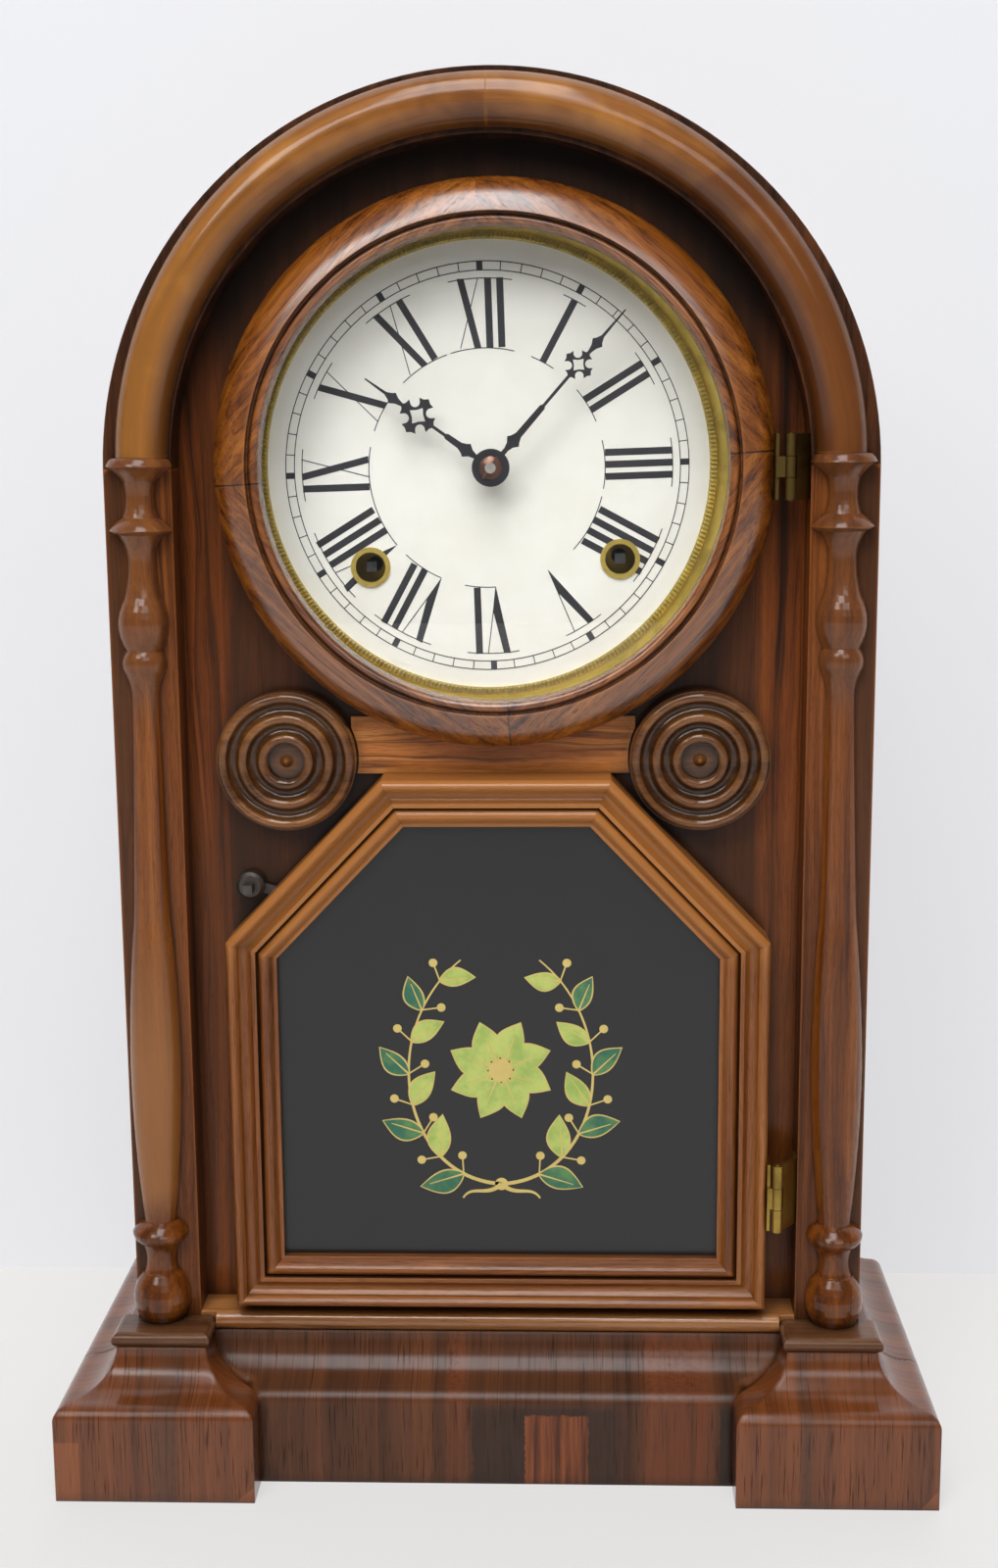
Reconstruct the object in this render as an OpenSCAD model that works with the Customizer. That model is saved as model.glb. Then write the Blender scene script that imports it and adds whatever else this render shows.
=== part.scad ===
// Round-top shelf clock with half columns, two glazed doors and an eight-day striking movement.
// Millimetres, +Z up, front towards -Y, origin on the floor under the middle of the base.

/* [Case] */
// Height of the clock from the floor to the top of the arch
case_h = 457; // [430:1:480]
// Width of the case across its sides
case_w = 244.8; // [236:0.2:252]
// Thickness of the case sides and the bent top
side_t = 8; // [6:0.5:10]
// Thickness of the stiles and the arch board
frame_t = 13; // [10:0.5:15]
// Width of each stile
stile_w = 21.6; // [18:0.2:23]
// How far the centre of the arched opening stands above the centre of the case's arch
opening_rise = 1.9; // [0:0.1:3]
// Thickness of the front panel
panel_t = 8; // [6:0.5:9]
// Thickness of the back board
back_t = 6; // [4:0.5:7]

/* [Base] */
// Width of the base across the feet
base_w = 290.2; // [280:0.2:300]
// Depth of the base from the front of the feet to the back
base_d = 124.3; // [118:0.1:132]
// Distance of a foot's inner face from the middle
foot_in_x = 79; // [75:0.1:83]
// How far the feet stand in front of the stiles
foot_reach = 32.3; // [30:0.1:36]
// How far the feet stand in front of the middle of the base
foot_step = 13.8; // [10:0.1:17]
// How far the feet and the middle of the base reach behind the front of the stiles
base_front_back = 8; // [6:0.5:10]
// Height of the upright face below the ogee
plinth_h = 28; // [24:0.5:34]
// Radius of the rounded lower part of the ogee
ogee_round = 4.5; // [3:0.1:6]
// Radius of the hollow upper part of the ogee
ogee_cove = 13.5; // [12:0.1:15]
// How far the base's side boards stay outside the case's inner faces
side_seat = 0.7; // [0:0.1:2]
// Thickness of the board that closes the base under the case
floor_t = 12; // [8:1:16]
// Thickness of the cap on each foot
cap_t = 5; // [4:0.1:7]
// How far a cap overhangs the top of its foot
cap_lip = 1.4; // [0.5:0.1:2]
// Height of the rounded rail along the bottom of the panel
rail_h = 6.5; // [5:0.1:8]
// How far the rail stands in front of the stiles
rail_reach = 2; // [1:0.1:4]

/* [Columns and arch bead] */
// Radius of the half-round arch bead's section
bead_r = 8.3; // [6:0.1:9]
// Radius of the arch bead's centre line
bead_arch_r = 110; // [108:0.5:113]
// How far the centre of the arch bead stands above the centre of the case's arch
bead_rise = 2.6; // [1:0.1:4]
// How far the columns reach above the centre of the case's arch
column_rise = 5.4; // [4:0.1:7]
// Distance of a column's axis from the middle, half way up
column_x = 112.3; // [110:0.1:114]
// Outward lean of a column towards its foot, in degrees
column_lean = 0.6; // [0:0.1:1]

/* [Rosettes and centre rail] */
// Radius of a rosette
rosette_r = 22.8; // [20:0.1:23]
// Thickness of a rosette at its crests
rosette_t = 10; // [7:0.5:11]
// Distance of a rosette from the middle
rosette_x = 67.4; // [66:0.1:70]
// How far the rosettes' centres lie below the dial's centre
rosette_drop = 94.2; // [92:0.1:96]
// Height of the centre rail
centre_rail_h = 19; // [16:0.5:20]
// Thickness of the centre rail on the panel
centre_rail_t = 1.5; // [1:0.1:1.6]

/* [Doors] */
// Sideways offset of both doors towards their hinges
door_x = 1.3; // [0:0.1:1.5]
// Gap between the closed doors and the panel
door_gap = 1.9; // [1.7:0.1:2.5]
// Outer radius of the dial door's ring
ring_r = 88.8; // [87:0.1:89.5]
// Radius at which the ring's convex face meets its inner bead
ring_face_r = 77; // [76.5:0.1:78]
// Inner radius of the ring's lip over the glass
ring_lip_r = 73.8; // [73:0.1:74.5]
// Thickness of the dial door's ring
ring_t = 19.2; // [17:0.1:19.5]
// Height of the ring's outer wall
ring_wall = 9.2; // [8:0.1:10]
// Radius of the ring's convex face
ring_face_round = 14; // [13:0.1:16]
// Thickness of both glasses
glass_t = 2; // [1.6:0.1:2.4]
// Half the width of the tablet door
tablet_half = 89; // [87:0.1:89.5]
// How far the tablet door's lower edge lies above the base
tablet_rise = 10.4; // [9.5:0.1:12]
// Height of the tablet door from its shoulders to its top edge
tablet_slope = 54; // [50:0.5:57]
// How far the tablet door's top edge lies below the dial's centre
tablet_drop = 99; // [98:0.2:101]
// Half the width of the tablet door's top edge
tablet_top_half = 37.2; // [35:0.1:38]
// Thickness of the tablet door
tablet_t = 17; // [15.5:0.1:18]
// Width of the tablet door's mouldings
moulding_w = 16; // [15:0.1:17]
// Height of the dial hinge
dial_hinge_h = 20.3; // [18:0.1:24]
// How far the tablet hinge's lower end lies above the door's lower edge
tablet_hinge_rise = 28.6; // [24:0.2:38]
// Height of the tablet hinge
tablet_hinge_h = 23; // [20:0.5:26]
// Distance of both hinge axes from the middle
hinge_x = 93.6; // [93.4:0.1:94]
// How far the hinge axes stand in front of the stiles
hinge_reach = 6; // [5.5:0.1:6.5]
// Radius of a hinge barrel
barrel_r = 1.7; // [1.6:0.05:1.8]
// Radius of a hinge pin
hinge_pin_r = 0.8; // [0.6:0.05:0.9]
// Thickness of the hinge leaves
leaf_t = 1; // [0.8:0.05:1.1]

/* [Door catch] */
// Distance of the catch's pivot from the middle, on the left
catch_x = 81; // [80.5:0.1:82]
// How far the catch's pivot lies below the dial's centre
catch_drop = 136.7; // [135:0.1:138]
// Length of the catch's tail
catch_tail = 11; // [9:0.1:11.5]

/* [Dial and hands] */
// How far the dial's centre stands above the centre of the case's arch
dial_rise = 1.4; // [0.9:0.1:1.9]
// Radius of the dial
dial_r = 84; // [82:0.5:88]
// Thickness of the dial
dial_t = 0.8; // [0.6:0.1:1]
// Radius of the hole in the panel behind the dial door
dial_hole_r = 79; // [78.5:0.1:80]
// Inner radius of the brass sight ring
sight_r = 71.8; // [70:0.1:73]
// Sideways offset of the dial and its sight ring from the hands
dial_shift = -1.2; // [-2:0.1:2]
// Distance of the winding holes from the dial's centre
winding_hole_r = 51.3; // [50:0.1:53]
// Angle of the right winding hole below the level of the centre
right_winding_angle = 35.6; // [34:0.1:37]
// Angle of the left winding hole below the level of the centre
left_winding_angle = 38.8; // [37:0.1:40]
// Inner radius of a winding hole's grommet
grommet_r = 4.9; // [4.5:0.1:5.2]
// Length of the minute hand
minute_len = 65; // [62:0.5:68]
// Length of the hour hand
hour_len = 49; // [46:0.5:51]
// Angle of the minute hand, clockwise from twelve
minute_angle = 41.3; // [0:0.1:360]
// Angle of the hour hand, clockwise from twelve
hour_angle = 305.3; // [0:0.1:360]
// Thickness of a hand
hand_t = 0.7; // [0.5:0.1:0.9]

/* [Movement] */
// Distance between the dial and the front plate
plate_drop = 16; // [15:0.5:18]
// Thickness of the movement plates
plate_t = 1.5; // [1.2:0.1:1.8]
// Room for the pendulum between the back plate and the back board
pendulum_room = 14.7; // [14:0.1:16]
// Half the width of the plates
plate_half = 60; // [58:0.5:64]
// How far the plates reach below the centre
plate_down = 62; // [60:0.5:66]
// How far the plates reach above the centre
plate_up = 52; // [50:0.5:56]
// Radius of the movement posts
post_r = 2.5; // [2:0.1:3]
// Radius of the train arbors
arbor_r = 1; // [0.8:0.05:1.1]
// Radius of the centre arbor
centre_arbor_r = 1.5; // [1.3:0.05:1.6]
// Radius of the winding arbors
winding_r = 2.4; // [2.2:0.1:2.8]
// Side of a winding square
winding_square = 3.4; // [3:0.1:3.6]
// Gap between a turning arbor and its hole
pivot_gap = 0.15; // [0.12:0.01:0.2]
// Thickness of the brass wheels
wheel_t = 1.2; // [1:0.1:1.4]
// Teeth of a great wheel
great_teeth = 84; // [80:4:88]
// Radius to the outer turn of a mainspring
spring_r = 22; // [20:0.5:23]
// Turns of a mainspring
spring_turns = 7; // [5:1:8]
// Thickness of the mainspring steel
spring_t = 0.6; // [0.4:0.05:0.8]

/* [Pendulum, hammer and gong] */
// Height of the pendulum's pivot above the dial's centre
suspension_up = 46; // [45:0.5:48]
// Height of the middle of the bob above the base
bob_rise = 134; // [128:1:140]
// Radius of the pendulum bob
bob_r = 27; // [22:0.5:30]
// Thickness of the pendulum bob
bob_t = 9; // [7:0.5:10]
// Radius of the pendulum rod
rod_r = 0.9; // [0.7:0.1:1.2]
// Height of the gong's centre above the base
gong_rise = 62; // [58:1:66]
// Distance of the gong's centre from the middle
gong_x = 22; // [18:1:26]
// Radius to the outer turn of the gong
gong_r = 30; // [26:0.5:32]
// Radius of the gong wire
gong_wire = 1.3; // [1:0.1:1.6]
// Turns of the gong
gong_turns = 4; // [3:1:5]

/* [Hidden] */
$fn = 96;

// Colours of the materials
rosewood = [0.40, 0.18, 0.10];
dark_rosewood = [0.26, 0.12, 0.08];
walnut = [0.45, 0.26, 0.13];
honey = [0.55, 0.32, 0.15];
pine = [0.72, 0.55, 0.36];
brass = [0.75, 0.62, 0.30];
copper = [0.6, 0.35, 0.22];
steel = [0.45, 0.46, 0.48];
iron = [0.16, 0.15, 0.15];
ivory = [0.92, 0.91, 0.86];
glass = [0.75, 0.85, 0.85, 0.35];
black = [0.05, 0.05, 0.06];

// A clearance that lets neighbouring pieces pass
gap = 0.3;
// Length that carries a cut past the faces it opens
over = 1;

// Planes from the front to the back
front_y = foot_reach - base_d / 2;
panel_y = front_y + frame_t;
panel_back_y = panel_y + panel_t;
door_back_y = panel_y - door_gap;
back_y = base_d / 2;
board_y = back_y - back_t;
plate_y = panel_back_y + dial_t + plate_drop;
plate_in_y = plate_y + plate_t;
plate_space = board_y - pendulum_room - plate_t - plate_in_y;
back_plate_y = plate_in_y + plate_space;
back_plate_out_y = back_plate_y + plate_t;

// Case
case_r = case_w / 2;
spring_z = case_h - case_r;
opening_r = case_r - stile_w;
inner_half = case_r - side_t;

// Base
ogee_run = ogee_round + ogee_cove;
base_h = plinth_h + ogee_run;
base_side_t = base_w / 2 - inner_half - side_seat;
foot_w = base_w / 2 - foot_in_x;
foot_x = (base_w - foot_w) / 2;
cap_w = foot_w - 2 * ogee_run + 2 * cap_lip;
cap_front_y = front_y - foot_reach + ogee_run - cap_lip;
cap_top = base_h + cap_t;
base_front_back_y = front_y + base_front_back;

// Heights of what the case carries
opening_z = spring_z + opening_rise;
bead_z = spring_z + bead_rise;
column_top = spring_z + column_rise;
dial_z = spring_z + dial_rise;
rosette_z = dial_z - rosette_drop;
tablet_top = dial_z - tablet_drop;
tablet_shoulder = tablet_top - tablet_slope;
tablet_bottom = base_h + tablet_rise;
tablet_hinge_z = tablet_bottom + tablet_hinge_rise;
catch_z = dial_z - catch_drop;
gong_z = base_h + gong_rise;
pendulum_len = dial_z + suspension_up - base_h - bob_rise;

// Places on the movement, from the dial's centre: sideways and up
right_winding = winding_hole_r * [cos(right_winding_angle), -sin(right_winding_angle)];
left_winding = winding_hole_r * [-cos(left_winding_angle), -sin(left_winding_angle)];
second_teeth = 48;
centre_leaves = 24;
second_module = 0.6;
second_gap = second_module * (second_teeth + centre_leaves) / 2;
lantern_great = 12;
great_gap = winding_hole_r - second_gap;
great_module = 2 * great_gap / (great_teeth + lantern_great);
centre_teeth = 80;
train_leaves = 8;
centre_module = 0.42;
third_gap = centre_module * (centre_teeth + train_leaves) / 2;
third_teeth = 76;
third_module = 0.3625;
escape_gap = third_module * (third_teeth + train_leaves) / 2;
escape_teeth = 42;
escape_r = 13.2;
pin_teeth = 72;
pin_module = 0.421;
strike_third_gap = pin_module * (pin_teeth + train_leaves) / 2;
strike_third_teeth = 64;
fly_module = 0.3586;
fly_gap = fly_module * (strike_third_teeth + train_leaves) / 2;

centre_at = [0, 0];
dial_at = centre_at + [dial_shift, 0];
second_at = second_gap * right_winding / norm(right_winding);
third_at = third_gap * [cos(60), sin(60)];
escape_at = [0, third_at.y + sqrt(escape_gap * escape_gap - third_at.x * third_at.x)];
pin_at = left_winding + great_gap * [cos(60), sin(60)];
strike_third_at = pin_at + strike_third_gap * [cos(100), sin(100)];
fly_at = strike_third_at + fly_gap * [cos(70), sin(70)];
suspension_at = [0, suspension_up];
hammer_at = [-14, -52];
posts_at = [[-1, -1], [1, -1], [-1, 1], [1, 1]];
post_in = 4.5;

// Motion work between the dial and the front plate
cannon_leaves = 12;
minute_teeth = 36;
cannon_module = 0.5;
motion_gap = cannon_module * (cannon_leaves + minute_teeth) / 2;
minute_leaves = 10;
hour_teeth = 40;
hour_module = 2 * motion_gap / (minute_leaves + hour_teeth);
motion_at = [-motion_gap, 0];
hour_pipe_r = 3;
hour_pipe_bore = centre_arbor_r + 0.4;

// Levels of the wheels, as distances behind the inner face of the front plate
great_level = 0.0656 * plate_space;
second_level = 0.2131 * plate_space;
centre_level = 0.3443 * plate_space;
third_level = 0.541 * plate_space;
escape_level = 0.7377 * plate_space;
spring_level = 0.2951 * plate_space;
spring_w = 0.623 * plate_space;
lantern_side = 0.0262 * plate_space;
shroud_t = 0.0197 * plate_space;

// Planes of the pendulum, the hammer and the gong
pendulum_y = back_plate_out_y + pendulum_room * 0.4422;
hammer_y = back_plate_y - 4;
gong_y = hammer_y;

// Puts a drawing made on X and Z between two depths
module along_y(y0, y1) {
    translate([0, y1, 0]) rotate([90, 0, 0]) linear_extrude(y1 - y0) children();
}

// Puts a drawing made on Y and Z between two places along X
module along_x(x0, x1) {
    translate([x0, 0, 0]) rotate([90, 0, 90]) linear_extrude(x1 - x0) children();
}

// Turns a section about an axis along Y: radius first, then height towards the front
module turned(y) {
    translate([0, y, 0]) rotate([90, 0, 0]) rotate_extrude() children();
}

// A round bar along Y
module bar_y(y0, y1, r) {
    translate([0, y1, 0]) rotate([90, 0, 0]) cylinder(h = y1 - y0, r = r);
}

// Moves what follows to a place on the movement
module on_movement(at) {
    translate([at.x, 0, dial_z + at.y]) children();
}

// Points of a round-cornered run through stations of height, radius and bulge to the next
function bulged(stations, steps = 8) = [
    for (i = [0 : len(stations) - 2])
        let (p = [stations[i][1], stations[i][0]], q = [stations[i + 1][1], stations[i + 1][0]],
             d = q - p, n = [d.y, -d.x] / norm(d), parts = stations[i][2] == 0 ? 1 : steps)
            for (k = [0 : parts - 1])
                let (t = k / parts)
                    p + t * d + 4 * t * (1 - t) * stations[i][2] * n];

// Outline of the case, with its round top
module case_outline(r) {
    translate([0, spring_z]) intersection() {
        circle(r, $fn = 180);
        translate([-r, 0]) square([2 * r, r]);
    }
    translate([-r, base_h]) square([2 * r, spring_z - base_h]);
}

// Section of a base board with its ogee, front edge at zero
module ogee_section(depth) {
    difference() {
        square([depth, base_h]);
        translate([-over, plinth_h]) square([ogee_round + over, ogee_run + over]);
        translate([ogee_round, base_h]) circle(ogee_cove);
    }
    translate([ogee_round, plinth_h]) circle(ogee_round);
}

// A foot seen from the front, with an ogee on both sides
module foot_face() {
    intersection() {
        translate([foot_in_x, 0]) ogee_section(foot_w);
        translate([foot_in_x + foot_w, 0]) mirror([1, 0]) ogee_section(foot_w);
    }
}

module foot() {
    depth = foot_reach + base_front_back;
    color(rosewood) intersection() {
        along_y(front_y - foot_reach, base_front_back_y) foot_face();
        along_x(foot_in_x, foot_in_x + foot_w)
            translate([front_y - foot_reach, 0]) ogee_section(depth);
    }
}

module right_foot() {
    foot();
}

module left_foot() {
    mirror([1, 0, 0]) foot();
}

module base_front() {
    front = front_y - foot_reach + foot_step;
    half = foot_in_x + ogee_run;
    color(rosewood) difference() {
        along_x(-half, half) translate([front, 0]) ogee_section(base_front_back_y - front);
        for (side = [0, 1])
            mirror([side, 0, 0]) along_y(front - over, base_front_back_y + over) foot_face();
    }
}

module base_sides() {
    color(rosewood) for (side = [0, 1])
        mirror([side, 0, 0]) along_y(base_front_back_y, back_y)
            translate([base_w / 2, 0]) mirror([1, 0]) ogee_section(base_side_t);
}

module base_floor() {
    half = inner_half + side_seat;
    color(pine) translate([-half, base_front_back_y, base_h - floor_t])
        cube([2 * half, back_y - base_front_back_y, floor_t]);
}

// A flat strip with one rounded edge, the edge at zero
module nosed(depth, h) {
    translate([h / 2, 0]) square([depth - h / 2, h]);
    translate([h / 2, h / 2]) circle(h / 2);
}

module foot_caps() {
    depth = front_y - cap_front_y;
    color(walnut) for (side = [0, 1])
        mirror([side, 0, 0]) translate([foot_x - cap_w / 2, cap_front_y, base_h]) intersection() {
            along_x(0, cap_w) nosed(depth, cap_t);
            along_y(0, depth) nosed(cap_w, cap_t);
            along_y(0, depth) translate([cap_w, 0]) mirror([1, 0]) nosed(cap_w, cap_t);
        }
}

module base_rail() {
    between = foot_x - cap_w / 2;
    color(walnut) intersection() {
        along_x(-opening_r, opening_r)
            translate([front_y - rail_reach, base_h]) nosed(rail_reach + frame_t, rail_h);
        union() {
            translate([-between, front_y - rail_reach, 0]) cube([2 * between, rail_reach, case_h]);
            translate([-opening_r, front_y, 0]) cube([2 * opening_r, frame_t, case_h]);
        }
    }
}

module stile() {
    color(rosewood) translate([opening_r, front_y, base_h])
        cube([stile_w, frame_t, opening_z - base_h]);
}

module right_stile() {
    stile();
}

module left_stile() {
    mirror([1, 0, 0]) stile();
}

module arch_board() {
    color(rosewood) along_y(front_y, panel_y) difference() {
        case_outline(case_r);
        translate([-case_r, 0]) square([case_w, opening_z]);
        translate([0, opening_z]) circle(opening_r, $fn = 180);
    }
}

// Half of the bead round the arch, from a column's top to the crown
module arch_bead() {
    color(honey) intersection() {
        translate([0, front_y, bead_z]) rotate([90, 0, 0]) rotate_extrude($fn = 180)
            translate([bead_arch_r, 0]) intersection() {
                circle(bead_r);
                translate([-bead_r, 0]) square([2 * bead_r, bead_r]);
            }
        translate([0, front_y - 2 * bead_r, column_top]) cube([case_r, 2 * bead_r, case_h]);
    }
}

module right_arch_bead() {
    arch_bead();
}

module left_arch_bead() {
    mirror([1, 0, 0]) arch_bead();
}

// Stations up a column: height, radius, bulge of the curve to the next station
shaft_z = cap_top + 35;
shaft_h = column_top - 77 - shaft_z;
column_stations = [
    [cap_top - 2, 6.2, 3.4], [cap_top + 16.5, 6.5, 0], [cap_top + 16.9, 5.9, -1],
    [cap_top + 27, 6.6, 0.8], [cap_top + 31, 9.4, 0.5], [shaft_z, 5.4, 0.7],
    [shaft_z + 0.31 * shaft_h, 8.5, 0.5], [shaft_z + 0.59 * shaft_h, 6.2, -0.15],
    [column_top - 77, 4.6, -0.5], [column_top - 68.4, 6.5, 0.1], [column_top - 66.3, 7.2, 0.5],
    [column_top - 61, 6, 2.2], [column_top - 44, 6, -0.4], [column_top - 32, 4.6, -0.7],
    [column_top - 24.1, 7.4, 0.2], [column_top - 22.7, 10, 0.3], [column_top - 18.7, 5.9, -0.9],
    [column_top - 7.4, 5.4, -0.4], [column_top - 2.7, 10.5, 0.4], [column_top + 0.5, 8.2, 0]];

module column() {
    top = column_stations[len(column_stations) - 1];
    bottom = column_stations[0];
    middle = (cap_top + column_top) / 2;
    outline = concat([[0, bottom[0]]], bulged(column_stations), [[top[1], top[0]], [0, top[0]]]);
    color(walnut) intersection() {
        translate([column_x, front_y, middle]) rotate([0, -column_lean, 0])
            translate([0, 0, -middle]) rotate([0, 0, 180])
                rotate_extrude(angle = 180) polygon(outline);
        translate([opening_r - stile_w, front_y - foot_reach, cap_top])
            cube([3 * stile_w, 2 * foot_reach, column_top - cap_top]);
    }
}

module right_column() {
    column();
}

module left_column() {
    mirror([1, 0, 0]) column();
}

module case_side() {
    color(rosewood) translate([inner_half, panel_y, base_h])
        cube([side_t, board_y - panel_y, spring_z - base_h]);
}

module right_case_side() {
    case_side();
}

module left_case_side() {
    mirror([1, 0, 0]) case_side();
}

module case_top() {
    color(rosewood) along_y(panel_y, board_y) difference() {
        case_outline(case_r);
        translate([-case_r, 0]) square([case_w, spring_z]);
        translate([0, spring_z]) circle(inner_half, $fn = 180);
    }
}

module back_board() {
    color(pine) along_y(board_y, back_y) case_outline(case_r);
}

// Corners of the tablet door set in by a distance, from the lower left, anticlockwise
function tablet_corners(inset) =
    let (rise = tablet_top - tablet_shoulder, k = (tablet_half - tablet_top_half) / rise,
         shift = inset * sqrt(1 + k * k), half = tablet_half - inset, low = tablet_bottom + inset,
         shoulder = tablet_shoulder + (inset - shift) / k,
         top_half = tablet_top_half + inset * k - shift, high = tablet_top - inset)
    [[door_x - half, low], [door_x + half, low], [door_x + half, shoulder],
     [door_x + top_half, high], [door_x - top_half, high], [door_x - half, shoulder]];

// The glass reaches this far under the mouldings
glass_lap = 3;

module front_panel() {
    color(dark_rosewood) difference() {
        along_y(panel_y, panel_back_y) case_outline(inner_half);
        on_movement(dial_at) bar_y(panel_y - over, panel_back_y + over, dial_hole_r);
        along_y(panel_y - over, panel_back_y + over) polygon(tablet_corners(moulding_w));
        translate([-catch_x, 0, catch_z]) bar_y(panel_y - over, panel_back_y + over, catch_bore);
    }
}

// Section of a rosette: three beads with coves between them, and a dish round a pointed nub
module rosette_section() {
    bead_r = 1.6;
    cove_r = 2.1;
    dish_r = 6;
    nub_r = 2.2;
    land = rosette_t - bead_r;
    dish_h = land - bead_r;
    crests = [rosette_r - 1.9, rosette_r - 8.6, rosette_r - 15.2];
    difference() {
        union() {
            square([rosette_r, land]);
            for (crest = crests) translate([crest, land]) circle(bead_r);
        }
        for (i = [0, 1]) translate([(crests[i] + crests[i + 1]) / 2, land + 0.3]) circle(cove_r);
        translate([0, dish_h]) square([dish_r, rosette_t]);
    }
    polygon([[0, dish_h - over], [nub_r, dish_h - over], [nub_r, dish_h], [nub_r / 2, dish_h + 1],
             [0, land + 1]]);
}

module rosettes() {
    color(walnut) for (side = [-1, 1])
        translate([side * rosette_x, 0, rosette_z]) turned(panel_y) rosette_section();
}

module centre_rail() {
    half = rosette_x - rosette_r + 2;
    color(rosewood) difference() {
        translate([-half, panel_y - centre_rail_t, tablet_top - gap])
            cube([2 * half, centre_rail_t, centre_rail_h]);
        for (side = [-1, 1])
            translate([side * rosette_x, 0, rosette_z])
                bar_y(panel_y - rosette_t, panel_y + over, rosette_r + gap);
    }
}

// Dial
grommet_t = 0.7;
module dial() {
    color(ivory) difference() {
        on_movement(dial_at) bar_y(panel_back_y, panel_back_y + dial_t, dial_r);
        on_movement(centre_at) bar_y(panel_back_y - over, plate_y, hour_pipe_r + 1.5);
        for (at = [right_winding, left_winding])
            on_movement(at) bar_y(panel_back_y - over, plate_y, grommet_r + grommet_t);
    }
}

module dial_brass() {
    flange = 1.6;
    out = dial_hole_r - gap;
    rim = 8;
    sheet = 0.8;
    color(brass) {
        on_movement(dial_at) turned(panel_back_y) polygon([
            [sight_r, 0], [sight_r + 2.2, 0], [sight_r + 3.4, 0], [out, rim - sheet], [out, rim],
            [out - sheet, rim], [sight_r + 2.4, 1.8], [sight_r, 1.8]]);
        for (at = [right_winding, left_winding])
            on_movement(at) turned(panel_back_y) difference() {
                union() {
                    translate([0, -dial_t - 1]) square([grommet_r + grommet_t, dial_t + 1]);
                    square([grommet_r + flange, grommet_t]);
                }
                translate([0, -dial_t - 2]) square([grommet_r, 2 * plate_drop]);
            }
    }
}

// Dial door
function arc_centre(a, b, r) =
    let (d = b - a, m = (a + b) / 2, h = norm(d) / 2, n = [-d.y, d.x] / norm(d))
    m + sqrt(r * r - h * h) * n;

glass_seat = ring_t / 2 - 2.4;
ring_rebate_r = ring_face_r + 0.6;

module ring_section() {
    crown = arc_centre([ring_r, ring_wall], [ring_face_r, ring_t], ring_face_round);
    bead = (ring_face_r - ring_lip_r) / 2;
    lip_h = ring_t - 2 - bead;
    intersection() {
        translate([ring_rebate_r, 0]) square([ring_r - ring_rebate_r, ring_t]);
        translate(crown) circle(ring_face_round);
    }
    translate([ring_lip_r, glass_seat]) square([ring_rebate_r + over - ring_lip_r, lip_h - glass_seat]);
    translate([ring_lip_r + bead, lip_h]) circle(bead);
}

module dial_door_ring() {
    color(rosewood) difference() {
        translate([door_x, 0, dial_z]) turned(door_back_y) ring_section();
        dial_leaf_bed();
    }
}

module dial_glass() {
    color(glass) translate([door_x, 0, dial_z])
        bar_y(door_back_y - glass_seat, door_back_y - glass_seat + glass_t, ring_rebate_r - gap / 3);
}

// Hinges: the axis, and the lengths of the knuckles
hinge_y = front_y - hinge_reach;
knuckle_gap = 0.2;
leaf_back = 8;
dial_hinge_z = dial_z - dial_hinge_h / 2;
door_edge_x = door_x + tablet_half;
ring_edge_x = door_x + ring_r - 1;

module barrel(z0, z1, bore) {
    translate([hinge_x, hinge_y, z0]) difference() {
        cylinder(h = z1 - z0, r = barrel_r);
        translate([0, 0, -over]) cylinder(h = z1 - z0 + 2 * over, r = bore);
    }
}

// Case leaf: a plate let against the stile, a slanted web, the end knuckles and the pin
module case_leaf(z0, h) {
    knuckle = h / 3;
    inner = opening_r - leaf_t;
    web = [[opening_r, front_y + leaf_back], [inner, front_y + leaf_back], [inner, front_y + 2],
           [hinge_x + 1.2, hinge_y + 2.1], [hinge_x + 2.1, hinge_y + 1.2],
           [opening_r, front_y + 1.2]];
    tie = [[hinge_x, hinge_y + 1.2], [hinge_x + 1.4, hinge_y + 2.3],
           [hinge_x + 2.3, hinge_y + 1.4], [hinge_x + 1.2, hinge_y]];
    color(brass) {
        translate([0, 0, z0]) linear_extrude(h) polygon(web);
        for (z = [z0, z0 + 2 * knuckle]) {
            barrel(z, z + knuckle, hinge_pin_r - 0.2);
            translate([0, 0, z]) linear_extrude(knuckle) difference() {
                polygon(tie);
                translate([hinge_x, hinge_y]) circle(hinge_pin_r);
            }
        }
        translate([hinge_x, hinge_y, z0 - 0.4]) cylinder(h = h + 0.8, r = hinge_pin_r);
    }
}

// Door leaf: a plate on the door's edge and the middle knuckle
module door_leaf(z0, h, edge) {
    knuckle = h / 3;
    z1 = z0 + knuckle + knuckle_gap;
    z2 = z0 + 2 * knuckle - knuckle_gap;
    plate = [[edge, front_y + leaf_back], [edge, hinge_y + 0.4], [edge + leaf_t, hinge_y + 0.4],
             [edge + leaf_t, front_y + leaf_back]];
    web = [[edge, hinge_y + 0.4], [edge, hinge_y - 0.5], [hinge_x - 1.2, hinge_y - 0.5],
           [hinge_x - 1.2, hinge_y + 0.5], [edge + leaf_t, hinge_y + 0.5],
           [edge + leaf_t, hinge_y + 1]];
    color(brass) {
        translate([0, 0, z0]) linear_extrude(h) polygon(plate);
        translate([0, 0, z1]) linear_extrude(z2 - z1) polygon(web);
        barrel(z1, z2, hinge_pin_r + pivot_gap);
    }
}

// Flat bed for the leaf on the round ring
module dial_leaf_bed() {
    translate([ring_edge_x, front_y - foot_reach, dial_hinge_z - gap])
        cube([ring_r, foot_reach + panel_back_y - front_y, dial_hinge_h + 2 * gap]);
}

module dial_hinge_case_leaf() {
    difference() {
        case_leaf(dial_hinge_z, dial_hinge_h);
        arch_board();
    }
}

module dial_hinge_door_leaf() {
    door_leaf(dial_hinge_z, dial_hinge_h, ring_edge_x);
}

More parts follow.
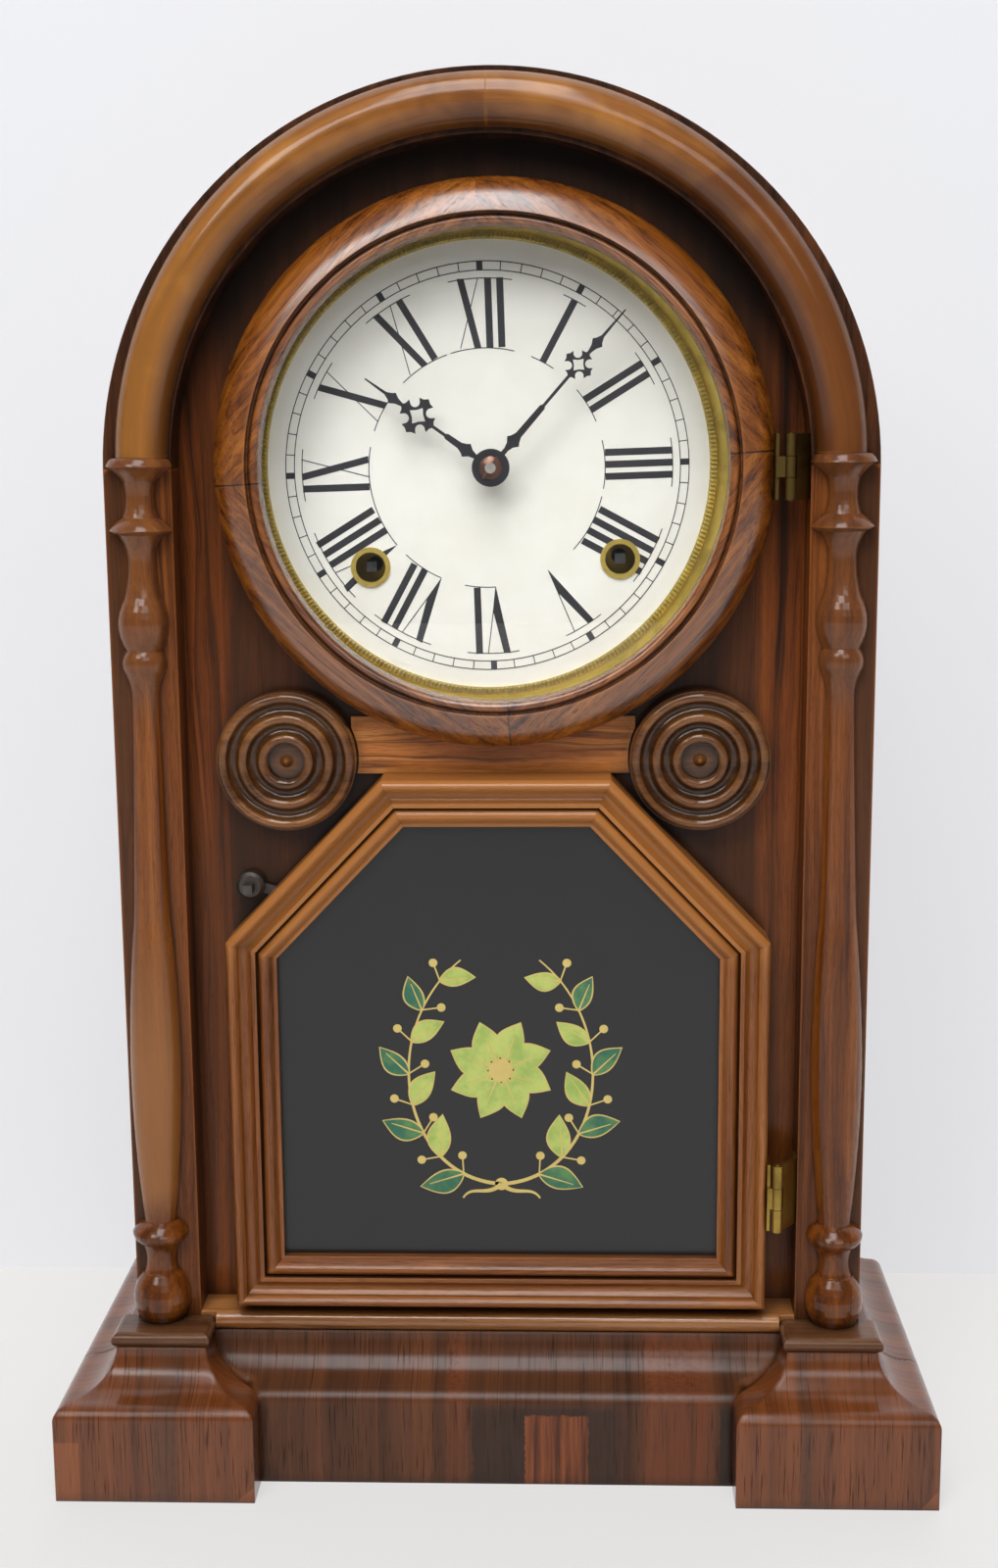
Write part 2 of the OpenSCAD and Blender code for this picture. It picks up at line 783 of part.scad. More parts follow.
module tablet_hinge_case_leaf() {
    case_leaf(tablet_hinge_z, tablet_hinge_h);
}

module tablet_hinge_door_leaf() {
    door_leaf(tablet_hinge_z, tablet_hinge_h, door_edge_x);
}

// Section of the tablet door's mouldings: stations of height, distance from the outer edge, bulge
rebate_h = tablet_t / 2 - 0.5;
bead_h = tablet_t - 1.8;
bead_w = 3.6;
step_h = tablet_t - 3.4;
cove_w = 4.4;
step_w = 1.4;
inner_bead_h = tablet_t - 6;
inner_bead_w = 5.4;
inner_at = bead_w + cove_w + step_w;
moulding_stations = [
    [0, 0, 0], [bead_h, 0, -1.8], [bead_h, bead_w, 0], [step_h, bead_w, 1.5],
    [step_h, bead_w + cove_w, 0], [step_h, inner_at, 0], [inner_bead_h, inner_at, -2.9],
    [inner_bead_h, inner_at + inner_bead_w, 0], [inner_bead_h, moulding_w, 0],
    [rebate_h, moulding_w, 0], [rebate_h, moulding_w - glass_lap, 0],
    [0, moulding_w - glass_lap, 0], [0, 0, 0]];

module moulding_section() {
    polygon(bulged(moulding_stations));
}

catch_notch = catch_tail + 1.5;

// Six mouldings mitred at the corners, with a hairline at each mitre
module tablet_door_frame() {
    outer = tablet_corners(0);
    inner = tablet_corners(moulding_w);
    sides = len(outer);
    mitre_gap = 0.03;
    color(honey) difference() {
        for (i = [0 : sides - 1]) {
            j = (i + 1) % sides;
            run = outer[j] - outer[i];
            trim = mitre_gap * run / norm(run);
            intersection() {
                along_y(door_back_y - tablet_t - over, door_back_y + over)
                    polygon([outer[i] + trim, outer[j] - trim, inner[j] - trim, inner[i] + trim]);
                translate([outer[i].x, door_back_y, outer[i].y])
                    rotate([0, -atan2(run.y, run.x), 0])
                        along_x(-over, norm(run) + over) rotate(90) moulding_section();
            }
        }
        translate([-catch_x, 0, catch_z])
            bar_y(catch_y - catch_t - 2 * gap, panel_y, catch_notch);
    }
}

module tablet_glass() {
    color(black) along_y(door_back_y - rebate_h, door_back_y - rebate_h + glass_t)
        polygon(tablet_corners(moulding_w - glass_lap + gap));
}

module tablet_putty() {
    color(pine) along_y(door_back_y - rebate_h + glass_t, door_back_y) difference() {
        polygon(tablet_corners(moulding_w - glass_lap + gap));
        polygon(tablet_corners(moulding_w));
    }
}

// Catch: a turning boss with a square peg in front, a flat tail behind the door's edge
catch_boss_r = 4.6;
catch_shank_r = 1.6;
catch_bore = catch_shank_r + pivot_gap;
catch_t = 2;
catch_y = panel_y - gap;

module door_catch() {
    peg = 3;
    rivet = 2;
    shank_end = panel_t + 2 * gap;
    color(iron) translate([-catch_x, 0, catch_z]) {
        turned(catch_y) polygon([
            [0, -shank_end - rivet], [catch_shank_r + rivet, -shank_end - rivet],
            [catch_shank_r + rivet, -shank_end], [catch_shank_r, -shank_end], [catch_shank_r, 0],
            [catch_boss_r, 0], [catch_boss_r, catch_t + 2], [catch_boss_r - 1, catch_t + 3],
            [0, catch_t + 3]]);
        translate([-peg / 2, catch_y - catch_t - 8, -peg / 2]) cube([peg, 6, peg]);
        rotate([0, 15, 0]) translate([0, catch_y - catch_t, -1.6])
            cube([catch_tail, catch_t - gap / 2, 3.2]);
    }
}

// Hands, drawn pointing up from the hub
hand_hub = 6;
minute_y = panel_back_y - 11;
hour_y = panel_back_y - 8;
arbor_end_y = minute_y - 2.6;

// An open cross with four round bites and a hollow diamond
module cross(at, half, bite, hole) {
    translate([0, at]) difference() {
        square(2 * half, center = true);
        for (turn = [0 : 90 : 270])
            rotate(turn) translate([half, 0]) circle(bite);
        rotate(45) square(hole * sqrt(2), center = true);
    }
}

// A diamond-shaped cusp on the arm
module cusp(at, half) {
    translate([0, at]) polygon([[-half, 0], [0, -half], [half, 0], [0, 2 * half]]);
}

module hand_outline(length, low_cusp, step, cross_at, half, bite, hole, high_cusp) {
    arm = 1.7;
    stem = 0.9;
    circle(hand_hub);
    translate([-arm / 2, 0]) square([arm, step]);
    translate([-stem / 2, 0]) square([stem, cross_at - half + bite + 0.3]);
    cusp(low_cusp, 2.4);
    cross(cross_at, half, bite, hole);
    translate([-stem / 2, cross_at + half - bite - 0.3])
        square([stem, high_cusp - cross_at - half + bite + 0.3]);
    cusp(high_cusp, 2);
    polygon([[-0.6, high_cusp], [0.6, high_cusp], [0.2, length], [-0.2, length]]);
}

module minute_hand() {
    color(black) on_movement(centre_at) along_y(minute_y, minute_y + hand_t) difference() {
        rotate(-minute_angle) hand_outline(minute_len, 10.6, 25.6, 43, 4, 1.35, 1.65, 51.5);
        circle(centre_arbor_r);
    }
}

module hour_hand() {
    color(black) on_movement(centre_at) along_y(hour_y, hour_y + hand_t) difference() {
        rotate(-hour_angle) hand_outline(hour_len, 9.1, 17.7, 28.3, 5.4, 1.6, 2.1, 38.2);
        circle(hour_pipe_r);
    }
}

// The pin through the centre arbor that holds the hands
module hand_pin() {
    translate([0, minute_y - 1.8, 0]) rotate([0, 35, 0]) cylinder(h = 8, r = 0.45, center = true);
}

// Copper washer under the pin
module hand_washer() {
    washer_r = 3.7;
    color(copper) on_movement(centre_at) {
        difference() {
            turned(minute_y) intersection() {
                square([washer_r, 1.1]);
                translate([0, -5.5]) circle(6.6);
            }
            bar_y(minute_y - 2, minute_y + over, centre_arbor_r);
        }
        hand_pin();
    }
}

// Outline of a toothed wheel with a tooth at the given angle
function teeth(n, m, angle) =
    let (pitch = 360 / n, root = n * m / 2 - 1.15 * m, tip = n * m / 2 + 0.9 * m)
    [for (i = [0 : n - 1], c = [[root, -0.23], [tip, -0.08], [tip, 0.08], [root, 0.23]])
        c[0] * [cos(angle + (i + c[1]) * pitch), sin(angle + (i + c[1]) * pitch)]];

// Direction from one place to another, in degrees
function heading(a, b) = atan2(b.y - a.y, b.x - a.x);

// A crossed-out brass wheel lying behind the given depth
module wheel(n, m, angle, y) {
    rim = n * m / 2 - 3.2 * m;
    hub = 3.4;
    arm = 1.8;
    along_y(y, y + wheel_t) difference() {
        polygon(teeth(n, m, angle));
        difference() {
            circle(rim);
            circle(hub);
            for (turn = [0, 90])
                rotate(turn) square([2 * rim, arm], center = true);
        }
    }
}

// A lantern pinion: trundles between two shrouds, with a space at the given angle
module lantern(n, m, angle, y) {
    pitch_r = n * m / 2;
    pin_r = 0.5 * m;
    for (side = [y - lantern_side - shroud_t, y + wheel_t + lantern_side])
        bar_y(side, side + shroud_t, pitch_r + pin_r + 0.3);
    for (i = [0 : n - 1])
        translate(pitch_r * [cos(angle + (i + 0.5) * 360 / n), 0, sin(angle + (i + 0.5) * 360 / n)])
            bar_y(y - lantern_side - shroud_t, y + wheel_t + lantern_side + shroud_t, pin_r);
}

// An arbor that turns in both plates
module arbor() {
    bar_y(plate_y, back_plate_out_y, arbor_r);
}

great_y = plate_in_y + great_level;
second_y = plate_in_y + second_level;
centre_y = plate_in_y + centre_level;
third_y = plate_in_y + third_level;
escape_y = plate_in_y + escape_level;

module great_wheel(from, to) {
    color(brass) on_movement(from) difference() {
        union() {
            wheel(great_teeth, great_module, heading(from, to), great_y);
            bar_y(great_y, great_y + 3, winding_r + 2.2);
        }
        bar_y(great_y - over, great_y + 4, winding_r + pivot_gap);
    }
}

module time_great_wheel() {
    great_wheel(right_winding, second_at);
}

module strike_great_wheel() {
    great_wheel(left_winding, pin_at);
}

// Winding arbor with its ratchet and its square in front
module winding_arbor(at) {
    ratchet_n = 16;
    ratchet_r = 9;
    square_len = 11;
    color(steel) on_movement(at) {
        bar_y(plate_y - 3, back_plate_out_y, winding_r);
        translate([-winding_square / 2, plate_y - 3 - square_len, -winding_square / 2])
            cube([winding_square, square_len, winding_square]);
        along_y(plate_in_y + gap, great_y - gap) polygon([
            for (i = [0 : ratchet_n - 1], c = [[ratchet_r, 0], [ratchet_r - 1.6, 1]])
                c[0] * [cos((i + c[1]) * 360 / ratchet_n), sin((i + c[1]) * 360 / ratchet_n)]]);
    }
}

module time_winding_arbor() {
    winding_arbor(right_winding);
}

module strike_winding_arbor() {
    winding_arbor(left_winding);
}

// A flat spiral strip that starts and ends on the X axis, at r0 and at r1
module spiral_strip(r0, r1, turns, t) {
    steps = 28 * turns;
    rays = [for (i = [0 : steps]) let (a = 360 * turns * i / steps) [cos(a), sin(a)]];
    inner = [for (i = [0 : steps]) (r0 + (r1 - r0) * i / steps) * rays[i]];
    outer = [for (i = [steps : -1 : 0]) (r0 + t + (r1 - r0) * i / steps) * rays[i]];
    polygon(concat(inner, outer));
}

// Mainspring: hooked on the winding arbor, its outer end looped round a lower post
module mainspring(at, post) {
    y = plate_in_y + spring_level;
    reach = heading(at, post);
    far = norm(post - at);
    color(steel) on_movement(at) along_y(y, y + spring_w) difference() {
        union() {
            rotate(reach) spiral_strip(winding_r + gap, spring_r, spring_turns, spring_t);
            rotate(reach) translate([spring_r + spring_t / 4, -spring_t / 2])
                square([far - spring_r, spring_t]);
            translate(post - at) circle(post_r + spring_t);
        }
        translate(post - at) circle(post_r);
    }
}

function post_at(corner) = [
    corner.x * (plate_half - post_in),
    corner.y > 0 ? plate_up - post_in : post_in - plate_down];

module time_mainspring() {
    mainspring(right_winding, post_at([1, -1]));
}

module strike_mainspring() {
    mainspring(left_winding, post_at([-1, -1]));
}

// A movement plate with its pivot holes, waisted between the posts
module plate(y) {
    turning = [second_at, third_at, escape_at, pin_at, strike_third_at, fly_at, hammer_at];
    color(brass) difference() {
        on_movement(centre_at) along_y(y, y + plate_t) difference() {
            translate([-plate_half, -plate_down]) square([2 * plate_half, plate_down + plate_up]);
            for (side = [-1, 1])
                translate([side * plate_half, plate_up / 3]) circle(plate_half / 4);
        }
        on_movement(centre_at) bar_y(y - over, y + plate_t + over, centre_arbor_r + pivot_gap);
        for (at = turning)
            on_movement(at) bar_y(y - over, y + plate_t + over, arbor_r + pivot_gap);
        for (at = [right_winding, left_winding])
            on_movement(at) bar_y(y - over, y + plate_t + over, winding_r + pivot_gap);
        for (corner = posts_at)
            on_movement(post_at(corner)) bar_y(y - over, y + plate_t + over, post_r - 1);
    }
}

stud_r = 1.1;
motion_stud_r = 1.2;
motion_stud_len = 9;

module front_plate() {
    plate(plate_y);
    color(steel) on_movement(motion_at) bar_y(plate_y - motion_stud_len, plate_y, motion_stud_r);
}

module back_plate() {
    difference() {
        plate(back_plate_y);
        on_movement(suspension_at - [0, crutch_drop])
            bar_y(back_plate_y - over, back_plate_out_y + over, crutch_r + 2);
    }
    color(steel) on_movement(suspension_at) {
        bar_y(escape_y - 1, back_plate_y, stud_r);
        bar_y(back_plate_out_y, pendulum_y + 3, stud_r);
    }
}

// Posts: riveted in both plates and standing on the back board
module movement_posts() {
    color(steel) for (corner = posts_at)
        on_movement(post_at(corner)) {
            bar_y(plate_in_y, back_plate_y, post_r);
            bar_y(plate_y - 1, board_y, post_r - 1);
            bar_y(back_plate_out_y, board_y, post_r + 1);
        }
}

module second_wheel() {
    color(brass) on_movement(second_at) {
        arbor();
        wheel(second_teeth, second_module, heading(second_at, centre_at), second_y);
        lantern(lantern_great, great_module, heading(second_at, right_winding), great_y);
    }
}

// Centre wheel, its arbor through to the hands, its pinion and the cannon pinion
module centre_wheel() {
    color(brass) on_movement(centre_at) {
        difference() {
            bar_y(arbor_end_y, back_plate_out_y, centre_arbor_r);
            hand_pin();
        }
        wheel(centre_teeth, centre_module, heading(centre_at, third_at), centre_y);
        along_y(second_y - lantern_side, second_y + wheel_t + lantern_side)
            polygon(teeth(centre_leaves, second_module,
                heading(centre_at, second_at) + 180 / centre_leaves));
        along_y(plate_y - 3, plate_y - gap)
            polygon(teeth(cannon_leaves, cannon_module, 180 + 180 / cannon_leaves));
    }
}

module third_wheel() {
    color(brass) on_movement(third_at) {
        arbor();
        wheel(third_teeth, third_module, heading(third_at, escape_at), third_y);
        lantern(train_leaves, centre_module, heading(third_at, centre_at), centre_y);
    }
}

module escape_wheel() {
    pitch = 360 / escape_teeth;
    color(brass) on_movement(escape_at) {
        arbor();
        lantern(train_leaves, third_module, heading(escape_at, third_at), third_y);
        along_y(escape_y, escape_y + wheel_t) difference() {
            polygon([for (i = [0 : escape_teeth - 1], c = [[escape_r, 0], [escape_r - 1.9, 0.25],
                [escape_r - 1.9, 0.75]])
                    c[0] * [cos((i + c[1]) * pitch), sin((i + c[1]) * pitch)]]);
            difference() {
                circle(escape_r - 3.4);
                circle(2.6);
                for (turn = [0, 90])
                    rotate(turn) square([2 * escape_r, 1.6], center = true);
            }
        }
    }
}

// Verge: a bent strip over the escape wheel, with the crutch that leads the pendulum
crutch_drop = 8;
crutch_r = 0.6;
crutch_w = 0.8;
crutch_len = 50;
pallet_tip = [12.4, 7.4];
module verge() {
    y0 = escape_y - gap;
    y1 = escape_y + wheel_t + gap;
    hub_y = y1 + 3;
    color(steel) on_movement(suspension_at) {
        difference() {
            union() {
                bar_y(y0, hub_y, stud_r + 1.2);
                along_y(y0, y1) for (side = [0, 1])
                    mirror([side, 0]) rotate(-atan2(pallet_tip.y, pallet_tip.x))
                        square([norm(pallet_tip), 1]);
                translate([0, 0, -crutch_drop - crutch_w])
                    along_y(hub_y - 2 * crutch_w, hub_y)
                        translate([-crutch_w, 0]) square([2 * crutch_w, crutch_drop]);
            }
            bar_y(y0 - over, hub_y + over, stud_r + pivot_gap);
        }
        translate([0, 0, -crutch_drop]) bar_y(hub_y - crutch_w, pendulum_y - 2, crutch_r);
        translate([-crutch_w, pendulum_y - 3 - crutch_w, -crutch_len])
            cube([2 * crutch_w, 2 * crutch_w, crutch_len - crutch_drop + crutch_w]);
        translate([0, pendulum_y, -crutch_len]) difference() {
            cylinder(h = 2 * crutch_r, r = 3.4);
            translate([0, 0, -over]) cylinder(h = 4, r = rod_r + gap);
        }
    }
}

// Motion work
module minute_wheel() {
    y = plate_y - 2.4;
    color(brass) on_movement(motion_at) difference() {
        union() {
            along_y(y, y + wheel_t)
                polygon(teeth(minute_teeth, cannon_module, heading(motion_at, centre_at)));
            along_y(plate_y - 7, y)
                polygon(teeth(minute_leaves, hour_module, 180 / minute_leaves));
        }
        bar_y(plate_y - motion_stud_len - over, plate_y, motion_stud_r + pivot_gap);
    }
}

module hour_wheel() {
    y = plate_y - 5.5;
    color(brass) on_movement(centre_at) difference() {
        union() {
            along_y(y, y + wheel_t) polygon(teeth(hour_teeth, hour_module, 180));
            bar_y(hour_y, y + wheel_t, hour_pipe_r);
        }
        bar_y(hour_y - over, y + 3, hour_pipe_bore);
    }
}

// Pendulum: an eye on the suspension stud, a flat spring, a wire rod and a threaded end
rod_end = 8;
module pendulum_rod() {
    eye = 3;
    spring = 28;
    end = pendulum_len + bob_r + rod_end;
    color(steel) on_movement(suspension_at) difference() {
        union() {
            bar_y(pendulum_y - 1.5, pendulum_y + 1.5, eye);
            translate([-0.25, pendulum_y - 1.5, -spring]) cube([0.5, 3, spring]);
            translate([0, pendulum_y, -end]) cylinder(h = end - spring + 1, r = rod_r);
            translate([0, pendulum_y, -pendulum_len - bob_r - 5]) cylinder(h = 3, r = 4);
        }
        bar_y(pendulum_y - 3, pendulum_y + 3, stud_r + pivot_gap);
    }
}

module pendulum_bob() {
    rise = bob_t / 2 - 1;
    dome = (bob_r * bob_r + rise * rise) / (2 * rise);
    color(brass) on_movement(suspension_at - [0, pendulum_len]) difference() {
        turned(pendulum_y) intersection() {
            translate([0, -bob_t]) square([bob_r, 2 * bob_t]);
            translate([0, bob_t / 2 - dome]) circle(dome, $fn = 360);
            translate([0, dome - bob_t / 2]) circle(dome, $fn = 360);
        }
        translate([0, pendulum_y, -2 * bob_r]) cylinder(h = 4 * bob_r, r = rod_r);
    }
}

// Strike train
module strike_pin_wheel() {
    pins = 8;
    color(brass) on_movement(pin_at) {
        arbor();
        wheel(pin_teeth, pin_module, heading(pin_at, strike_third_at), second_y);
        lantern(lantern_great, great_module, heading(pin_at, left_winding), great_y);
        for (i = [0 : pins - 1])
            translate(pin_module * (pin_teeth / 2 - 2.2) * [cos(i * 360 / pins), 0, sin(i * 360 / pins)])
                bar_y(second_y, second_y + wheel_t + 1, 0.5);
    }
}

module strike_third_wheel() {
    color(brass) on_movement(strike_third_at) {
        arbor();
        wheel(strike_third_teeth, fly_module, heading(strike_third_at, fly_at), centre_y);
        lantern(train_leaves, pin_module, heading(strike_third_at, pin_at), second_y);
    }
}

module strike_fly() {
    blade = 8.5;
    blade_w = back_plate_y - third_y - 4;
    color(brass) on_movement(fly_at) {
        arbor();
        lantern(train_leaves, fly_module, heading(fly_at, strike_third_at), centre_y);
        translate([-blade, third_y, -0.3]) cube([2 * blade, blade_w, 0.6]);
        bar_y(third_y, third_y + blade_w, arbor_r + 0.8);
    }
}

// Hammer on its arbor, a wire down to the head beside the gong
hammer_head_r = 4;
hammer_clear = 2;
module strike_hammer() {
    reach = dial_z + hammer_at.y - gong_z;
    head_x = gong_x - gong_r - gong_wire - hammer_clear - hammer_head_r;
    lean = atan2(hammer_at.x - head_x, reach);
    color(steel) on_movement(hammer_at) {
        arbor();
        bar_y(hammer_y - 2, hammer_y + 2, arbor_r + 1.4);
        rotate([0, lean, 0]) {
            translate([0, hammer_y, -reach / cos(lean)]) cylinder(h = reach / cos(lean), r = 0.9);
            translate([0, 0, -reach / cos(lean)]) bar_y(hammer_y - 4, hammer_y + 4, hammer_head_r);
        }
    }
}

// Gong: a spiral of half turns of wire, its inner end in the iron base
gong_post_r = 4;
module gong() {
    r0 = gong_post_r + gong_wire;
    step = (gong_r - r0) / gong_turns;
    color(steel) translate([gong_x, gong_y, gong_z]) rotate([90, 0, 0]) {
        for (i = [0 : 2 * gong_turns - 1])
            translate([(i % 2 == 0 ? -1 : 1) * step / 4, 0, 0]) rotate([0, 0, i * 180])
                rotate_extrude(angle = 180)
                    translate([r0 + (i + 0.5) * step / 2, 0]) circle(gong_wire, $fn = 24);
    }
}

module gong_base() {
    foot_r = 17;
    foot_h = 5;
    color(iron) translate([gong_x, 0, gong_z]) {
        difference() {
            union() {
                bar_y(board_y - foot_h, board_y, foot_r);
                bar_y(gong_y - gong_wire - 3, board_y, gong_post_r);
            }
            translate([0, gong_y, 0]) rotate([0, 90, 0]) cylinder(h = 2 * gong_r, r = gong_wire + gap);
        }
    }
}

base_front();
left_foot();
right_foot();
base_sides();
base_floor();
foot_caps();
base_rail();
left_stile();
right_stile();
arch_board();
left_arch_bead();
right_arch_bead();
left_column();
right_column();
left_case_side();
right_case_side();
case_top();
back_board();
front_panel();
rosettes();
centre_rail();
dial();
dial_brass();
dial_door_ring();
dial_glass();
dial_hinge_door_leaf();
dial_hinge_case_leaf();
tablet_door_frame();
tablet_glass();
tablet_putty();
tablet_hinge_door_leaf();
tablet_hinge_case_leaf();
door_catch();
minute_hand();
hour_hand();
hand_washer();
front_plate();
back_plate();
movement_posts();
time_winding_arbor();
strike_winding_arbor();
time_great_wheel();
strike_great_wheel();
time_mainspring();
strike_mainspring();
second_wheel();
centre_wheel();
third_wheel();
escape_wheel();
verge();
minute_wheel();
hour_wheel();
pendulum_rod();
pendulum_bob();
strike_pin_wheel();
strike_third_wheel();
strike_fly();
strike_hammer();
gong();
gong_base();
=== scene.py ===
"""Looks of a round-top shelf clock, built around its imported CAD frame."""
import math

import bmesh
import bpy
from mathutils import Matrix, Vector


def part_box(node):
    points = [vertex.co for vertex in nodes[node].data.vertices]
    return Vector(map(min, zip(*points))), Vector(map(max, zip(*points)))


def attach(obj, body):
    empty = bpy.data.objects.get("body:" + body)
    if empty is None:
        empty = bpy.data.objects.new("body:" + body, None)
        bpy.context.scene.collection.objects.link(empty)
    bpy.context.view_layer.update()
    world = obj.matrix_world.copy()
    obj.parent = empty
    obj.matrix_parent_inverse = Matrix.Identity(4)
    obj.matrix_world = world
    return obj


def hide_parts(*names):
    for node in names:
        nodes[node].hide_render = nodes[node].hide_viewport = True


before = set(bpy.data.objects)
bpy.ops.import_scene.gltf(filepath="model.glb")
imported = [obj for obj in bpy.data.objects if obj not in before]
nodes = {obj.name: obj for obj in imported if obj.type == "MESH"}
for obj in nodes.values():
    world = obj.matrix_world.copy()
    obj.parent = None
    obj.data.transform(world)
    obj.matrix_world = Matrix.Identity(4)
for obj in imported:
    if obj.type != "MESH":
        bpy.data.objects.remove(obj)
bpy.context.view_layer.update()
MM = 0.001
scene = bpy.context.scene
scene.view_settings.view_transform = "Standard"

# Camera: place in metres, turns in degrees, lens and sensor in mm
CAMERA_AT = (0.0238, -0.65565, 0.3476)
CAMERA_PITCH, CAMERA_YAW, CAMERA_ROLL = 10.18, -1.97, -0.44
CAMERA_LENS, CAMERA_SENSOR = 45.15, 36


def make_camera():
    pitch, yaw, roll = (math.radians(a) for a in (CAMERA_PITCH, CAMERA_YAW, CAMERA_ROLL))
    forward = Vector((math.sin(yaw) * math.cos(pitch), math.cos(yaw) * math.cos(pitch), -math.sin(pitch)))
    level = Vector((math.cos(yaw), -math.sin(yaw), 0))
    upward = level.cross(forward)
    right = math.cos(roll) * level + math.sin(roll) * upward
    up = math.cos(roll) * upward - math.sin(roll) * level
    data = bpy.data.cameras.new("camera")
    data.sensor_width = CAMERA_SENSOR
    data.lens = CAMERA_LENS
    data.clip_start = 0.01
    camera = bpy.data.objects.new("camera", data)
    scene.collection.objects.link(camera)
    turn = Matrix((right, up, -forward)).transposed().to_4x4()
    turn.translation = Vector(CAMERA_AT)
    camera.matrix_world = turn
    scene.camera = camera


# Shader building
class Shader:
    """A material with one Principled shader, and short names for the nodes that feed it."""

    def __init__(self, name):
        self.material = bpy.data.materials.new(name)
        self.material.use_nodes = True
        self.tree = self.material.node_tree
        self.tree.nodes.clear()
        self.out = self.add("ShaderNodeOutputMaterial")
        self.main = self.add("ShaderNodeBsdfPrincipled")
        self.tree.links.new(self.main.outputs[0], self.out.inputs[0])

    def add(self, kind, **settings):
        node = self.tree.nodes.new(kind)
        for key, value in settings.items():
            setattr(node, key, value)
        return node

    def put(self, socket, value):
        if isinstance(value, bpy.types.NodeSocket):
            self.tree.links.new(value, socket)
        elif value is not None:
            socket.default_value = value

    def set(self, **values):
        """Sockets of the Principled shader, with _ for the spaces in their names."""
        for key, value in values.items():
            value = (*value, 1) if isinstance(value, tuple) else value
            self.put(self.main.inputs[key.replace("_", " ")], value)

    def blend(self, amount, first, second):
        """Makes a mix of two shaders the surface."""
        node = self.add("ShaderNodeMixShader")
        for socket, value in zip(node.inputs, (amount, first, second)):
            self.put(socket, value)
        self.put(self.out.inputs[0], node.outputs[0])
        return node.outputs[0]

    def math(self, op, a, b=0.0, c=None):
        node = self.add("ShaderNodeMath", operation=op)
        for socket, value in zip(node.inputs, (a, b, c)):
            self.put(socket, value)
        return node.outputs[0]

    def radius(self, across, up):
        squares = self.math("MULTIPLY", across, across), self.math("MULTIPLY", up, up)
        return self.math("SQRT", self.math("ADD", *squares))

    def choose(self, flag, off, on):
        """One of two numbers, by a flag of 0 or 1."""
        node = self.add("ShaderNodeMix", data_type="FLOAT")
        for index, value in ((0, flag), (2, off), (3, on)):
            self.put(node.inputs[index], value)
        return node.outputs[0]

    def span(self, value, low, high, to_low=0.0, to_high=1.0):
        """The value's way from low to high, eased, as a number from to_low to to_high."""
        node = self.add("ShaderNodeMapRange", interpolation_type="SMOOTHSTEP")
        for socket, v in zip(node.inputs, (value, low, high, to_low, to_high)):
            self.put(socket, v)
        return node.outputs[0]

    def between(self, value, left, right, soft=0.5):
        """1 where the value is from left to right, with soft edges."""
        rise, fall = self.span(value, left, left + soft), self.span(value, right, right - soft)
        return self.math("MULTIPLY", rise, fall)

    def place(self):
        """Object coordinates in millimetres, as three sockets."""
        coords = self.add("ShaderNodeTexCoord").outputs["Object"]
        scale = self.add("ShaderNodeVectorMath", operation="SCALE")
        self.put(scale.inputs[0], coords)
        scale.inputs["Scale"].default_value = 1 / MM
        return self.split(scale.outputs[0])

    def split(self, vector):
        node = self.add("ShaderNodeSeparateXYZ")
        self.put(node.inputs[0], vector)
        return node.outputs[0], node.outputs[1], node.outputs[2]

    def join(self, x, y, z):
        node = self.add("ShaderNodeCombineXYZ")
        for socket, value in zip(node.inputs, (x, y, z)):
            self.put(socket, value)
        return node.outputs[0]

    def noise(self, vector, scale=1.0, detail=3.0, rough=0.5, warp=0.0):
        node = self.add("ShaderNodeTexNoise")
        self.put(node.inputs["Vector"], vector)
        for key, value in (("Scale", scale), ("Detail", detail), ("Roughness", rough), ("Distortion", warp)):
            node.inputs[key].default_value = value
        return node.outputs[0]

    def ramp(self, value, *stops):
        node = self.add("ShaderNodeValToRGB")
        band = node.color_ramp
        while len(band.elements) < len(stops):
            band.elements.new(0.5)
        for element, (at, colour) in zip(band.elements, stops):
            element.position = at
            element.color = (*colour, 1)
        self.put(node.inputs[0], value)
        return node.outputs[0]

    def mix(self, amount, a, b):
        node = self.add("ShaderNodeMix", data_type="RGBA", blend_type="MIX")
        self.put(node.inputs[0], amount)
        for socket, value in ((node.inputs[6], a), (node.inputs[7], b)):
            self.put(socket, (*value, 1) if isinstance(value, tuple) else value)
        return node.outputs[2]

    def crevice(self, distance, inside=False):
        """1 on open surfaces, less where other surfaces are within the distance in mm."""
        node = self.add("ShaderNodeAmbientOcclusion", samples=4, inside=inside)
        node.inputs["Distance"].default_value = distance * MM
        return node.outputs["AO"]

    def bump(self, height, strength, distance, rounded=0.0):
        """Fine relief in mm; rounded softens the edges by that radius."""
        node = self.add("ShaderNodeBump")
        node.inputs["Strength"].default_value = strength
        node.inputs["Distance"].default_value = distance * MM
        self.put(node.inputs["Height"], height)
        if rounded:
            edge = self.add("ShaderNodeBevel", samples=4)
            edge.inputs["Radius"].default_value = rounded * MM
            self.put(node.inputs["Normal"], edge.outputs[0])
            self.put(self.main.inputs["Coat Normal"], node.outputs[0])
        self.put(self.main.inputs["Normal"], node.outputs[0])


def linear(*srgb):
    """Linear colour of 0 to 255 screen values."""
    return tuple(v / 255 / 12.92 if v < 10.3 else ((v / 255 + 0.055) / 1.055) ** 2.4 for v in srgb)


def times(colour, factor):
    """A colour made darker or lighter."""
    return tuple(factor * c for c in colour)


# Woods
NOISE_MID = 0.49  # the level about which the mixed noise varies
SEED_STEP = 17.3  # mm across the grain between one wood and the next
VEINS = 7.0  # dark veins in the range of the noise


